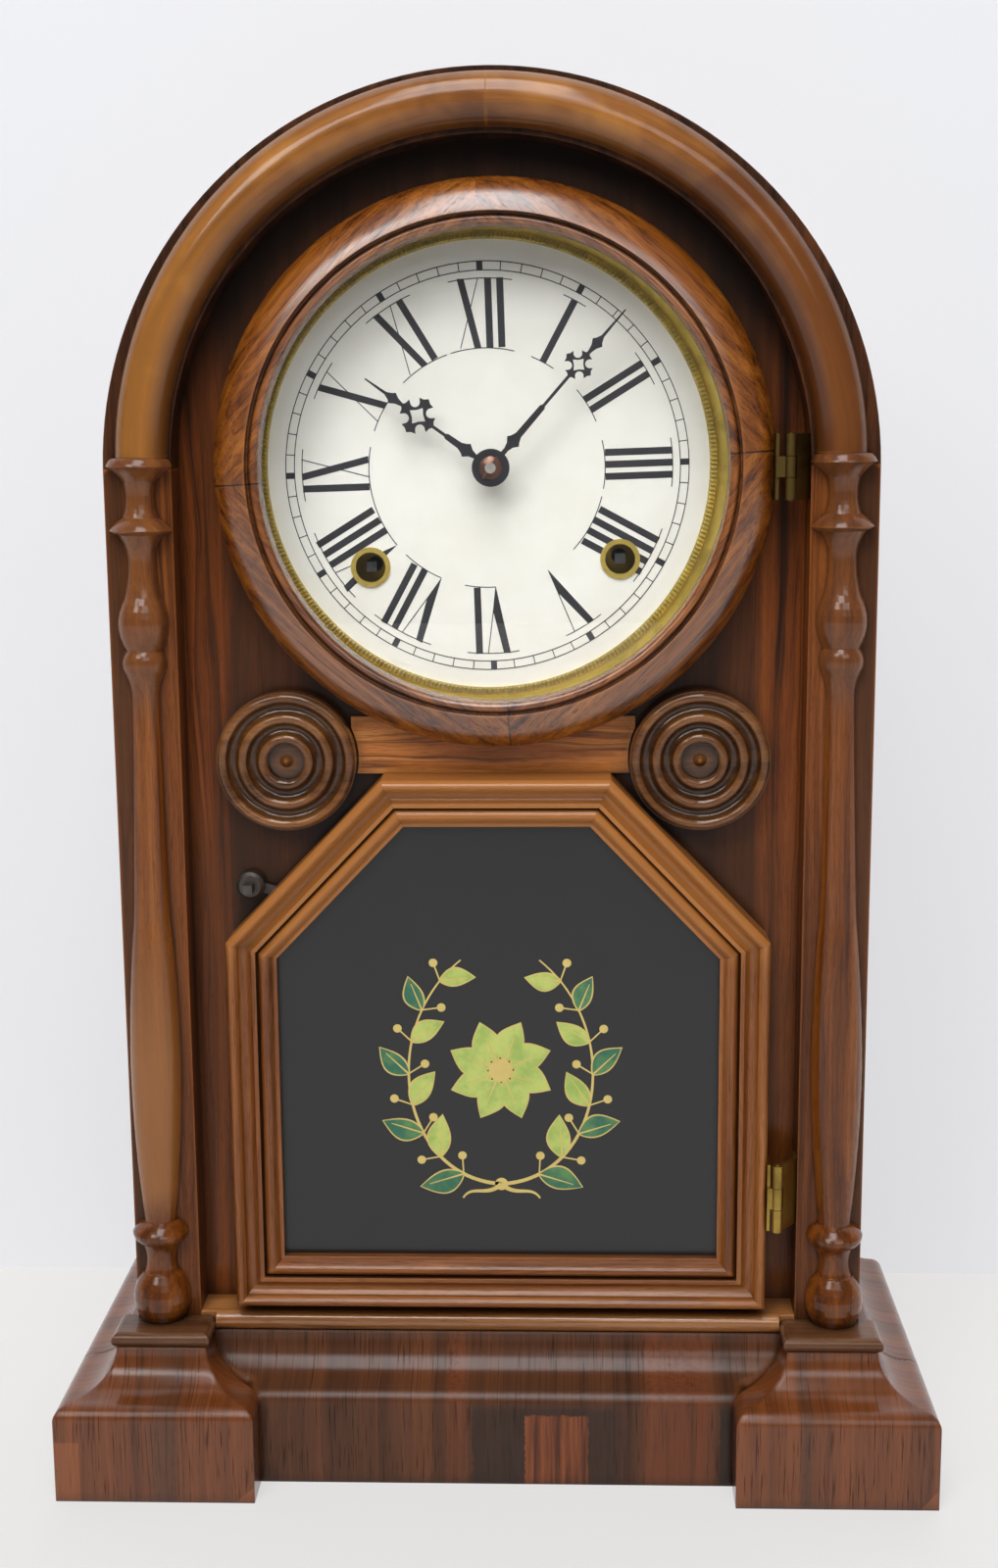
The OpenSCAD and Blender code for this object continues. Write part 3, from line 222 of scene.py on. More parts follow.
def timber(name, grain, dark, mid, light, streak=0.5, figure=0.5, band=0.5, gloss=0.45, coat=0.5, seed=0.0,
           pores=0.5, grime_and_shade=0.75, wear_and_highlight=0.35, shine=0.13, contrast=1.0, rounded=0.4, pitch=4.6,
           nook=(9.0, 0.72, 0.25), ior=1.5, extra=None):
    """A varnished wood.

    grain(shader) gives the place along the grain and the two across it, in mm. streak is the strength of
    the dark veins, figure the wander of the grain and band the share of broad sheets in its tone. pores and
    pitch are the strength of the open pores and how close they lie. The darkening in hollows, within the
    reach and between the two levels of nook, is grime and painted shade; the lighter edges are rubbed wear
    and a painted highlight. gloss is the roughness under the varnish; coat, shine and ior are the varnish.
    extra(shader, colour) adds what only one piece has.
    """
    s = Shader(name)
    along, across, deep = grain(s)
    across = s.math("ADD", across, seed * SEED_STEP)

    def field(rates, side, detail, rough=0.5, warp=0.0):
        """Noise at so many turns per mm along, across and through the grain."""
        scaled = [s.math("MULTIPLY", value, rate) for value, rate in zip((along, side, deep), rates)]
        return s.noise(s.join(*scaled), 1.0, detail, rough, warp)

    broad = field((0.006, 0.045, 0.045), across, 3.0, 0.5, 0.6)
    wander = s.math("MULTIPLY_ADD", broad, 30.0 * figure, across)
    sheet = field((0.0025, 0.085, 0.06), wander, 2.0)
    ribbon = field((0.004, 0.36, 0.25), wander, 4.0, 0.6, 0.2)
    ring = field((0.003, 0.17, 0.12), wander, 1.0)
    fine = field((0.03, 2.3, 2.1), wander, 3.0, 0.6)
    pore = field((0.035 * pitch, pitch, pitch), across, 2.0)
    tone = s.math("MULTIPLY", sheet, band)
    tone = s.math("MULTIPLY_ADD", ribbon, 0.72 * (1 - band), tone)
    tone = s.math("MULTIPLY_ADD", fine, 0.28 * (1 - band), tone)
    darkest, lightest = NOISE_MID - 0.13 / contrast, NOISE_MID + 0.14 / contrast
    colour = s.ramp(tone, (darkest, dark), (NOISE_MID, mid), (lightest, light))
    line = s.math("ABSOLUTE", s.math("SUBTRACT", s.math("FRACT", s.math("MULTIPLY", ring, VEINS)), 0.5))
    vein = s.math("MULTIPLY", s.span(line, 0.16, 0.0, 0.0, streak), s.span(ribbon, 0.62, 0.38, 0.25, 1.0))
    colour = s.mix(vein, colour, times(dark, 0.30))
    colour = s.mix(s.span(ribbon, 0.38, 0.26, 0.0, streak), colour, times(dark, 0.40))
    pit = s.span(pore, 0.45, 0.31, 0.0, pores)
    colour = s.mix(pit, colour, times(dark, 0.40))
    if extra:
        colour = extra(s, colour)
    # Rubbed wear and a painted highlight: lighter on sharp outward edges and crests.
    colour = s.mix(s.span(s.crevice(1.6, True), 0.80, 0.45, 0.0, wear_and_highlight), colour, times(light, 1.25))
    reach, clean, foul = nook
    # Grime and painted shade: darker where other surfaces lie near, in hollows and between parts.
    colour = s.mix(s.span(s.crevice(reach), clean, foul, 0.0, grime_and_shade), colour, times(dark, 0.22))
    s.set(Base_Color=colour, Roughness=s.span(fine, 0.3, 0.7, gloss + 0.10, gloss), Specular_IOR_Level=0.08,
          Coat_Weight=s.math("MULTIPLY_ADD", pit, -0.8 * coat, coat), Coat_Roughness=shine, Coat_IOR=ior)
    s.bump(s.math("ADD", s.math("MULTIPLY", pore, 0.7), s.math("MULTIPLY", fine, 0.5)), 0.16, 0.10, rounded)
    return s.material


# Grains: the place along the grain and the two across it, in mm
SIDE_SHIFT = 160.0  # sets the veneer of the sides apart from that of the front
RING_LEAN = math.radians(-3.2)
DIAGONAL = 0.7071


def upright(s):
    x, y, z = s.place()
    return z, x, y


def level_x(s):
    x, y, z = s.place()
    return x, z, y


def bent_veneer(s):
    """Upright grain that runs on over the ogee, on the front and on the sides."""
    x, y, z = s.place()
    nx, ny, _ = s.split(s.add("ShaderNodeTexCoord").outputs["Normal"])
    side = s.math("GREATER_THAN", s.math("ABSOLUTE", nx), s.math("ABSOLUTE", ny))
    return z, s.choose(side, x, s.math("ADD", y, SIDE_SHIFT)), 0.0


def round_arch(s):
    """Grain that follows the bent arch."""
    x, y, z = s.place()
    up = s.math("SUBTRACT", z, ARCH[1])
    return s.math("MULTIPLY", s.math("ARCTAN2", up, x), ARCH[0]), s.radius(x, up), y


def ring_axes(s):
    """Places across, up and through the ring, in line with the joints of its boards."""
    x, y, z = s.place()
    x = s.math("SUBTRACT", x, RING[0])
    up = s.math("SUBTRACT", z, RING[1])
    cos, sin = math.cos(RING_LEAN), math.sin(RING_LEAN)
    across = s.math("SUBTRACT", s.math("MULTIPLY", x, cos), s.math("MULTIPLY", up, sin))
    upward = s.math("ADD", s.math("MULTIPLY", x, sin), s.math("MULTIPLY", up, cos))
    return across, upward, y


def ring_quarters(s):
    """Four boards sawn into the ring, each with straight grain along its chord."""
    across, upward, y = ring_axes(s)
    flat, tall = s.math("ABSOLUTE", across), s.math("ABSOLUTE", upward)
    board = s.math("ADD", s.math("SIGN", across), s.math("MULTIPLY", s.math("SIGN", upward), 2.0))
    return (
        s.math("MULTIPLY", s.math("SUBTRACT", flat, tall), DIAGONAL),
        s.math("MULTIPLY_ADD", s.math("ADD", flat, tall), DIAGONAL, s.math("MULTIPLY", board, 61.0)),
        s.math("MULTIPLY_ADD", board, 23.0, y),
    )


def door_mouldings(s):
    """Grain along each of the six mouldings of the tablet door."""
    x, y, z = s.place()
    offset = s.math("SUBTRACT", x, TABLET_X)
    out = s.math("ABSOLUTE", offset)
    lean = math.atan2(TABLET_TOP - TABLET_SHOULDER, TABLET_HALF - TABLET_TOP_HALF)
    nx, nz = math.sin(lean), math.cos(lean)
    reach = nx * TABLET_HALF + nz * TABLET_SHOULDER
    side = s.math("SUBTRACT", out, TABLET_HALF)
    low = s.math("SUBTRACT", TABLET_BOTTOM, z)
    top = s.math("SUBTRACT", z, TABLET_TOP)
    slant = s.math("SUBTRACT", s.math("ADD", s.math("MULTIPLY", out, nx), s.math("MULTIPLY", z, nz)), reach)
    most = s.math("MAXIMUM", s.math("MAXIMUM", side, slant), s.math("MAXIMUM", low, top))
    is_side = s.math("GREATER_THAN", side, s.math("SUBTRACT", most, 0.001))
    is_slant = s.math("GREATER_THAN", slant, s.math("SUBTRACT", most, 0.001))
    sloped = s.math("SUBTRACT", s.math("MULTIPLY", z, nx), s.math("MULTIPLY", out, nz))
    along = s.choose(is_side, s.choose(is_slant, x, sloped), z)
    apart = s.math("MULTIPLY", s.math("SIGN", offset), 37.0)
    apart = s.math("MULTIPLY", apart, s.math("MAXIMUM", is_side, is_slant))
    return along, s.math("ADD", most, apart), s.math("MULTIPLY_ADD", is_slant, 51.0, y)


# What only one piece has; places in mm
def base_patches(s, colour):
    """Veneer sheets of other tones let into the front of the base."""
    x, y, z = s.place()
    ragged = s.math("MULTIPLY", s.noise(s.join(x, y, z), 0.5, 2.0), 1.6)
    edge = s.math("ADD", x, ragged)
    low = s.span(s.math("ADD", z, ragged), 26.0, 25.0)
    stripe = s.noise(s.join(s.math("MULTIPLY", x, 0.6), y, s.math("MULTIPLY", z, 0.02)), 1.0, 4.0, 0.6)
    sheet = s.span(z, 31.0, 25.0, 0.1, 0.8)
    red = s.math("MAXIMUM", s.between(edge, 48.0, 75.0, 5.0), s.between(edge, -17.0, -8.0, 3.0))
    red = s.math("MULTIPLY", red, s.span(stripe, 0.3, 0.6, 0.1, 0.6))
    colour = s.mix(red, colour, linear(132, 70, 40))
    grey = s.math("MULTIPLY", s.span(edge, -7.5, -6.5), s.span(edge, 47.0, 38.0))
    grey = s.math("MAXIMUM", grey, s.between(edge, 75.0, 84.0, 1.0))
    colour = s.mix(s.math("MULTIPLY", grey, sheet), colour, linear(52, 38, 31))
    orange = s.ramp(stripe, (0.36, linear(84, 46, 28)), (0.5, linear(128, 70, 41)),
                    (0.64, linear(154, 86, 49)))
    return s.mix(s.math("MULTIPLY", s.between(edge, 10.4, 32.0), low), colour, orange)


def foot_patches(s, colour):
    """A dark streak and small corner repairs in the veneer of the feet."""
    x, y, z = s.place()
    ragged = s.math("MULTIPLY", s.noise(s.join(x, y, z), 0.4, 2.0), 3.0)
    edge = s.math("ADD", x, ragged)
    streak = s.math("MAXIMUM", s.between(edge, -114.0, -101.0, 5.0), s.between(edge, 100.0, 107.0, 4.0))
    colour = s.mix(s.math("MULTIPLY", streak, 0.6), colour, linear(66, 46, 33))
    facing = s.span(y, FOOT_FRONT + 4.0, FOOT_FRONT + 3.5)
    tall = s.math("MULTIPLY", s.span(x, -136.6, -137.0), s.span(z, 21.0, 20.6))
    outer = s.math("SUBTRACT", s.math("SUBTRACT", s.math("ABSOLUTE", x), 139.0), s.math("MULTIPLY", z, 0.8))
    inner = s.math("SUBTRACT", s.math("ADD", x, 86.0), s.math("MULTIPLY", z, 1.2))
    inner = s.math("MULTIPLY", s.span(inner, 0.0, 0.4), s.span(x, 0.0, -1.0))
    repair = s.math("MAXIMUM", s.math("MAXIMUM", tall, inner), s.span(outer, 0.0, 0.4))
    return s.mix(s.math("MULTIPLY", s.math("MULTIPLY", repair, facing), 0.6), colour, linear(158, 90, 50))


def arch_shade(s, colour):
    """Painted shadow under the arch; darker away from the stiles, and darker and duller low down."""
    x, y, z = s.place()
    up = s.math("SUBTRACT", z, ARCH[1])
    # Painted shadow under the arch, deepest by its inner edge and high up.
    near = s.math("MULTIPLY", s.span(s.radius(x, up), 84.0, 100.0), s.span(up, 0.0, 56.0, 0.0, 0.9))
    colour = s.mix(s.span(z, 250.0, 190.0, 0.0, 0.45), colour, linear(72, 48, 30))
    grain = s.noise(s.join(s.math("MULTIPLY", x, 0.3), y, s.math("MULTIPLY", z, 0.01)))
    inward = s.math("ADD", s.math("ABSOLUTE", x), s.math("MULTIPLY", grain, 14.0))
    colour = s.mix(s.span(inward, 101.0, 90.0, 0.0, 0.82), colour, linear(56, 35, 21))
    return s.mix(near, colour, linear(20, 12, 7))


def bead_stain_and_shade(s, colour):
    """Stain that took unevenly along the bent bead, with painted light on its left, and painted shade on its
    right and on its flanks, most on the inner one.
    """
    x, y, z = s.place()
    cloud = s.noise(s.join(x, y, z), 0.024, 3.0, 0.55, 0.5)
    colour = s.mix(s.span(cloud, 0.50, 0.66, 0.0, 0.65), colour, linear(84, 42, 15))
    colour = s.mix(s.span(cloud, 0.47, 0.34, 0.0, 0.6), colour, linear(190, 128, 58))
    # Painted light on the left of the bead, painted shade on its right.
    colour = s.mix(s.span(x, -40.0, -120.0, 0.0, 0.5), colour, linear(192, 128, 56))
    colour = s.mix(s.span(x, 50.0, 105.0, 0.0, 0.7), colour, linear(112, 62, 26))
    # Painted shade on both flanks of the bead, deeper on the inner one.
    radius = s.radius(x, s.math("MAXIMUM", s.math("SUBTRACT", z, BEAD_Z), 0.0))
    flank = s.math("ABSOLUTE", s.math("SUBTRACT", radius, BEAD_MID))
    colour = s.mix(s.span(flank, 3.0, BEAD_HALF, 0.0, 0.55), colour, linear(74, 37, 14))
    return s.mix(s.span(radius, BEAD_MID, BEAD_MID - 7.0, 0.0, 0.5), colour, linear(66, 33, 13))


def column_wear(s, colour):
    """Lighter wood low on the left shaft, as if rubbed, and old grime on the upper turnings."""
    x, _, z = s.place()
    low = s.math("MULTIPLY", s.span(z, 215.0, 130.0, 0.0, 0.6), s.span(z, 84.0, 100.0))
    left = s.span(x, 0.0, -1.0)
    colour = s.mix(s.math("MULTIPLY", low, left), colour, linear(176, 116, 62))
    return s.mix(s.span(z, SHAFT_TOP - 14.0, SHAFT_TOP + 6.0, 0.0, 0.4), colour, linear(98, 66, 48))


def stile_shade(s, colour):
    """Painted shade on the outer margin of the stiles, beside the columns."""
    out = s.math("ABSOLUTE", s.place()[0])
    # Painted shade on the outer margin.
    return s.mix(s.span(out, 113.0, 118.0, 0.0, 0.7), colour, linear(62, 42, 29))


def slant_light(s, colour):
    """Lighter pieces of wood in the slanted mouldings and the top one."""
    lift = s.span(s.place()[2], TABLET_SHOULDER - 6, TABLET_SHOULDER + 12, 0.0, 0.65)
    return s.mix(lift, colour, linear(198, 130, 66))


def ring_joints(s, colour):
    """Dark glue lines where the four boards of the ring meet, but for the top one."""
    across, upward, _ = ring_axes(s)
    hidden = s.math("MULTIPLY", s.math("GREATER_THAN", upward, 0.0), 9.0)
    near = s.math("MINIMUM", s.math("ADD", s.math("ABSOLUTE", across), hidden), s.math("ABSOLUTE", upward))
    return s.mix(s.span(near, 0.42, 0.12, 0.0, 0.9), colour, linear(34, 18, 8))


# Metals, paint and glass
def metal(name, colour, dull, rough, grain=0.5):
    s = Shader(name)
    place = s.join(*s.place())
    cloud = s.noise(place, 0.12, 4.0, 0.6, 0.4)
    speck = s.noise(place, 1.6, 3.0, 0.6)
    s.set(Base_Color=s.mix(s.span(cloud, 0.35, 0.7, 0.0, 0.5), colour, dull), Metallic=1.0,
          Roughness=s.span(cloud, 0.3, 0.7, rough, rough + 0.2))
    s.bump(speck, 0.10 * grain, 0.08)
    return s.material


def paint(name, colour, other, rough, coat=0.0, patch=0.3, cloudy=0.05):
    """A paint that drifts from one colour to another; cloudy is the rate of the drift, patch its strength."""
    s = Shader(name)
    place = s.join(*s.place())
    cloud = s.noise(place, cloudy, 4.0, 0.6)
    speck = s.noise(place, 0.9, 4.0, 0.65)
    s.set(Base_Color=s.mix(s.span(cloud, 0.35, 0.7, 0.0, patch), colour, other),
          Roughness=s.span(speck, 0.3, 0.7, rough, rough + 0.08), Coat_Weight=coat, Coat_Roughness=0.03)
    s.bump(speck, 0.05, 0.05)
    return s.material


def clear_glass(name):
    """Glass that lets the light of the lamps through."""
    s = Shader(name)
    s.set(Base_Color=(1.0, 1.0, 1.0), Roughness=0.0, IOR=1.45, Transmission_Weight=1.0)
    s.blend(s.add("ShaderNodeLightPath").outputs["Is Shadow Ray"], s.main.outputs[0],
            s.add("ShaderNodeBsdfTransparent").outputs[0])
    return s.material


# Sizes in mm, from the frame where a box gives them
def span_of(node, axis):
    low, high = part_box(node)
    return low[axis] / MM, high[axis] / MM


def centre_of(node):
    low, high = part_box(node)
    return (low.x + high.x) / 2 / MM, (low.z + high.z) / 2 / MM


RING = tuple(sum(span_of("dial_glass", a)) / 2 for a in (0, 2))
DIAL = (-1.6, 335.5)
DIAL_FRONT = span_of("dial", 1)[0]
SIGHT_IN = 71.8
HUB = (0.0, 336.0)
ARCH_HALF = span_of("case_top", 0)[1]
ARCH = (ARCH_HALF, span_of("case_top", 2)[1] - ARCH_HALF)
FOOT_FRONT = span_of("left_foot", 1)[0]
SHAFT_TOP = span_of("left_column", 2)[1] - 77.0
BEAD_HALF, BEAD_Z = 8.3, ARCH[1] + 2.6
BEAD_MID = -span_of("left_arch_bead", 0)[0] - BEAD_HALF
TABLET_X = sum(span_of("tablet_glass", 0)) / 2
TABLET_HALF, TABLET_TOP_HALF = 73.0, 30.4
TABLET_BOTTOM, TABLET_SHOULDER, TABLET_TOP = 72.4, 176.6, 221.0
TABLET_FRONT = span_of("tablet_glass", 1)[0]

# Meshes
ORIGIN = (0.0, 0.0)
LAYER = 0.004  # mm by which plates that cross differ in height
LAYERS = 12


def make_piece(name, mesh, material):
    """An object of a closed mesh."""
    bmesh.ops.recalc_face_normals(mesh, faces=mesh.faces)
    data = bpy.data.meshes.new(name)
    mesh.to_mesh(data)
    mesh.free()
    data.materials.append(material)
    piece = bpy.data.objects.new(name, data)
    scene.collection.objects.link(piece)
    return piece


def prisms(name, outlines, front, back, material, body):
    """Flat shapes in the plane of the front, each a list of (x, z) in mm, as thin closed plates.

    Neighbours differ a little in height, so that no two faces that cross share a plane.
    """
    mesh = bmesh.new()
    for n, outline in enumerate(outlines):
        rise = front - LAYER * (n % LAYERS)
        near = [mesh.verts.new((x * MM, rise * MM, z * MM)) for x, z in outline]
        far = [mesh.verts.new((x * MM, back * MM, z * MM)) for x, z in outline]
        mesh.faces.new(near)
        mesh.faces.new(far[::-1])
        for i in range(len(near)):
            j = (i + 1) % len(near)
            mesh.faces.new((near[j], near[i], far[i], far[j]))
    piece = make_piece(name, mesh, material)
    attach(piece, body)
    return piece


def off(point, distance, turn):
    """The point at a distance and a turn from another."""
    return point[0] + distance * math.cos(turn), point[1] + distance * math.sin(turn)


def turned(points, centre, turn):
    """Points in (sideways, outward), turned clockwise about a centre on the front."""
    c, s = math.cos(turn), math.sin(turn)
    return [(centre[0] + u * c + v * s, centre[1] - u * s + v * c) for u, v in points]


def disc(centre, radius, steps=20):
    return [off(centre, radius, 2 * math.pi * i / steps) for i in range(steps)]


def curved_band(centre, inner, outer, start, end, steps):
    """Part of a flat ring; the turns count clockwise from the top."""
    turn = [start + (end - start) * i / steps for i in range(steps + 1)]
    far = [(centre[0] + outer * math.sin(a), centre[1] + outer * math.cos(a)) for a in turn]
    near = [(centre[0] + inner * math.sin(a), centre[1] + inner * math.cos(a)) for a in turn]
    return far + near[::-1]


# Dial print, in mm
NUMERALS = ("XII", "I", "II", "III", "IIII", "V", "VI", "VII", "VIII", "IX", "X", "XI")
PRINT_TURN = math.radians(-1.65)
PRINT_HALF = 0.05
TRACK_OUT, TRACK_IN, TRACK_PIECES = 65.5, 62.7, 24
NUMERAL_OUT, NUMERAL_IN = 60.2, 38.4
BAR, HAIR, GAP, SERIF = 2.25, 0.32, 1.6, 2.9
LETTER_WIDTH = {"I": BAR, "V": 7.6, "X": 7.2}
V_TIP, V_TIP_HALF, V_FORK = 0.56, 0.1, 0.35  # shares of the width and height, and half the point's width
X_INSET = 0.3
HOUR_MARK_HALF = 1.0
GROMMET_RADIUS = 6.0


def numeral(letters):
    """Strokes of a numeral as outlines in (sideways, outward), and its serif lines as (radius, from, to)."""
    total = sum(LETTER_WIDTH[c] for c in letters) + GAP * (len(letters) - 1)
    top, low = NUMERAL_OUT, NUMERAL_IN
    at, strokes, feet = -total / 2, [], []
    for c in letters:
        w = LETTER_WIDTH[c]
        if c == "I":
            strokes.append([(at, low), (at + w, low), (at + w, top), (at, top)])
            feet += [at, at + w]
        elif c == "V":
            tip = at + w * V_TIP
            fork = low + (top - low) * V_FORK
            side = tip + (at + w - tip) * V_FORK
            strokes.append([(tip - V_TIP_HALF, low), (tip + V_TIP_HALF, low), (side, fork), (at + BAR, top),
                            (at, top)])
            strokes.append([(side - HAIR, fork), (side, fork), (at + w, top), (at + w - HAIR, top)])
            feet += [tip, tip]
        else:
            left, right = at + X_INSET, at + w - X_INSET
            strokes.append([(at + w - BAR, low), (at + w, low), (at + BAR, top), (at, top)])
            strokes.append([(left, low), (left + HAIR, low), (right, top), (right - HAIR, top)])
            feet += [at, at + w]
        at += w + GAP
    lines = [(top, -total / 2 - SERIF, total / 2 + SERIF)]
    if letters != "V":
        left = feet[0] - (0 if letters[0] == "V" else SERIF)
        right = feet[-1] + (0 if letters[-1] == "V" else SERIF)
        lines.append((low, left, right))
    return strokes, lines


def dial_print(material):
    shapes = []

    def arc(radius, start, end, steps):
        shapes.append(curved_band(DIAL, radius - HAIR / 2, radius + HAIR / 2, start, end, steps))

    for i, letters in enumerate(NUMERALS):
        turn = PRINT_TURN + math.radians(30 * i)
        strokes, lines = numeral(letters)
        shapes += [turned(stroke, DIAL, turn) for stroke in strokes]
        for radius, left, right in lines:
            arc(radius, turn + left / radius, turn + right / radius, 10)
    for radius in (TRACK_OUT, TRACK_IN):
        for i in range(TRACK_PIECES):
            arc(radius, math.radians(360 / TRACK_PIECES * i), math.radians(360 / TRACK_PIECES * (i + 1)), 6)
    for i in range(60):
        half = HAIR / 2 if i % 5 else HOUR_MARK_HALF
        mark = [(-half, TRACK_IN), (half, TRACK_IN), (half, TRACK_OUT), (-half, TRACK_OUT)]
        shapes.append(turned(mark, DIAL, PRINT_TURN + math.radians(6 * i)))
    piece = prisms("dial_print", shapes, DIAL_FRONT - PRINT_HALF, DIAL_FRONT + PRINT_HALF, material, "case")
    for arbor in ("time_winding_arbor", "strike_winding_arbor"):
        x, z = centre_of(arbor)
        bpy.ops.mesh.primitive_cylinder_add(
            vertices=48, radius=GROMMET_RADIUS * MM, depth=4 * MM, location=(x * MM, DIAL_FRONT * MM, z * MM),
            rotation=(math.radians(90), 0, 0))
        cutter = bpy.context.object
        cut = piece.modifiers.new("hole", "BOOLEAN")
        cut.object = cutter
        cut.operation = "DIFFERENCE"
        cut.solver = "EXACT"
        cut.use_self = True
        bpy.context.view_layer.objects.active = piece
        bpy.ops.object.modifier_apply(modifier=cut.name)
        bpy.data.objects.remove(cutter)


# Hands, in mm from the hub
EYE_IN, EYE_OUT = 3.4, 6.0
CUSP_BELOW, CUSP_ABOVE = 3.2, 2.4  # where the stem runs into a cusp
LAP = 0.7  # overlap of stem and cross


def cross_lobes(at, reach, horn, bite_at, bite, hole):
    """The open cross of a hand: four lobes with horns, round bites between them and a square hole."""
    lobes = []
    for k in range(4):
        arm = k * math.pi / 2
        flank = []
        for side in (1, -1):
            axis = arm + side * math.radians(45)
            points = [off(ORIGIN, horn, axis - side * math.radians(17))]
            for i in range(9):
                turn = axis - side * math.radians(90 + 90 * i / 8)
                points.append(off(off(ORIGIN, bite_at, axis), bite, turn))
            points.append(off(ORIGIN, 0.92 * hole, axis))
            flank.append(points)
        tips = [(0.96 * horn, arm - math.radians(13)), (reach, arm), (0.96 * horn, arm + math.radians(13))]
        outline = flank[1][::-1] + [off(ORIGIN, r, a) for r, a in tips] + flank[0]
        outline.append(off(ORIGIN, 1.5 * hole, arm))
        lobes.append([(u, v + at) for u, v in outline])
    return lobes


def hand_cusp(at, half, neck, top):
    """A pair of barbs on the stem, hollow below."""
    right = [(neck / 2, at - 3.4), (0.42 * half + 0.2, at - 1.6), (half, at),
             (0.5 * half + top / 4, at + 0.9), (top / 2, at + 2.6)]
    return right + [(-u, v) for u, v in right[::-1]]


def stem(low, low_half, high, high_half):
    return [(-low_half, low), (low_half, low), (high_half, high), (-high_half, high)]


def hand(name, node, body, angle, length, low_cusp, step, cross, high_cusp):
    """A hand with two cusps and an open cross; step is where the stem gets thinner."""
    front, back = span_of(node, 1)
    quarter = math.pi / 2
    cross_low, cross_high = cross["at"] - cross["reach"], cross["at"] + cross["reach"]
    shapes = [curved_band(ORIGIN, EYE_IN, EYE_OUT, quarter * k, quarter * (k + 1), 12) for k in range(4)]
    shapes += cross_lobes(**cross)
    shapes += [
        stem(5.6, 0.8, low_cusp - CUSP_BELOW, 0.75),
        hand_cusp(low_cusp, 2.5, 1.5, 2.2),
        [(-1.1, low_cusp + CUSP_ABOVE), (1.1, low_cusp + CUSP_ABOVE), (0.95, step - 0.6), (0.5, step),
         (-0.5, step), (-0.95, step - 0.6)],
        stem(step - 0.3, 0.5, cross_low + LAP, 0.5),
        stem(cross_high - LAP, 0.55, high_cusp - CUSP_BELOW, 0.6),
        hand_cusp(high_cusp, 2.0, 1.2, 1.0),
        stem(high_cusp + CUSP_ABOVE, 0.5, length, 0.22),
    ]
    placed = [turned(shape, HUB, math.radians(angle)) for shape in shapes]
    piece = prisms(name, placed, front + 0.05, back, bpy.data.materials["hand_black"], body)
    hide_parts(node)


def arbor_tip(material):
    """The bright end of the centre arbor."""
    front = span_of("centre_wheel", 1)[0]
    piece = prisms("arbor_tip", [disc(HUB, 1.7, 32)], front - 0.12, front + 0.6, material, "centre")


# Knurled edge of the sight ring
KNURL_TEETH, KNURL_SLOPE = 330, 0.5


def sight_knurl(material):
    """A closed ring with small ridges across it, on the flat inner edge of the brass ring."""
    centre = centre_of("dial_brass")
    inner, outer = SIGHT_IN + 0.1, SIGHT_IN + 2.3
    seat, valley, ridge = DIAL_FRONT - 1.5, DIAL_FRONT - 1.85, DIAL_FRONT - 2.45
    mesh = bmesh.new()
    rows = []
    for i in range(2 * KNURL_TEETH):
        top = valley if i % 2 else ridge
        turn = math.pi * i / KNURL_TEETH
        section = ((inner, seat), (inner, valley), (inner + KNURL_SLOPE, top), (outer - KNURL_SLOPE, top),
                   (outer, valley), (outer, seat))
        rows.append([mesh.verts.new(((centre[0] + r * math.sin(turn)) * MM, y * MM,
                                     (centre[1] + r * math.cos(turn)) * MM)) for r, y in section])
    for i, row in enumerate(rows):
        following = rows[(i + 1) % len(rows)]
        for k in range(len(row)):
            m = (k + 1) % len(row)
            mesh.faces.new((row[k], row[m], following[m], following[k]))
    piece = make_piece("sight_knurl", mesh, material)
    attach(piece, "case")


# Design on the tablet, in mm: two leafy branches round a blossom
DESIGN = (2.0, 135.5)
HEART = (DESIGN[0], DESIGN[1] + 2)
KNOT = (DESIGN[0], DESIGN[1] - 38)
BRANCH = ((0, -38), (34, -36), (42, 16), (13, 40))
TAIL = ((0, -38), (5, -43), (10, -38), (13, -43))
BRANCH_STEPS, TAIL_STEPS = 40, 16
LEAVES, PETALS = 8, 8
PETAL_LENGTH, PETAL_WIDTH = 14.0, 9.0


def bezier(points, t):
    """Place and direction on a curve of four points."""
    u = 1 - t
    a, b, c, d = points
    place = tuple(u ** 3 * a[k] + 3 * u * u * t * b[k] + 3 * u * t * t * c[k] + t ** 3 * d[k]
                  for k in (0, 1))
    slope = tuple(3 * u * u * (b[k] - a[k]) + 6 * u * t * (c[k] - b[k]) + 3 * t * t * (d[k] - c[k])
                  for k in (0, 1))
    return place, math.atan2(slope[1], slope[0])


def strip(points, widths):
    """A tapering stroke along points."""
    left, right = [], []
    for i, (x, z) in enumerate(points):
        before, after = points[max(i - 1, 0)], points[min(i + 1, len(points) - 1)]
        turn = math.atan2(after[1] - before[1], after[0] - before[0]) + math.pi / 2
        half = widths[i] / 2
        left.append((x + half * math.cos(turn), z + half * math.sin(turn)))
        right.append((x - half * math.cos(turn), z - half * math.sin(turn)))
    return left + right[::-1]


def leaf(root, turn, length, width, grow=0.0):
    """A pointed leaf from its root, bent a little to one side."""
    steps, bend = 12, 0.9
    points = []
    for side, order in ((1, range(steps + 1)), (-1, range(steps - 1, 0, -1))):
        for i in order:
            t = i / steps
            half = side * (width / 2 + grow) * math.sin(math.pi * t ** 0.85)
            points.append((t * (length + 2 * grow) - grow, half + bend * math.sin(math.pi * t)))
    c, s = math.cos(turn), math.sin(turn)
    return [(root[0] + u * c - v * s, root[1] + u * s + v * c) for u, v in points]


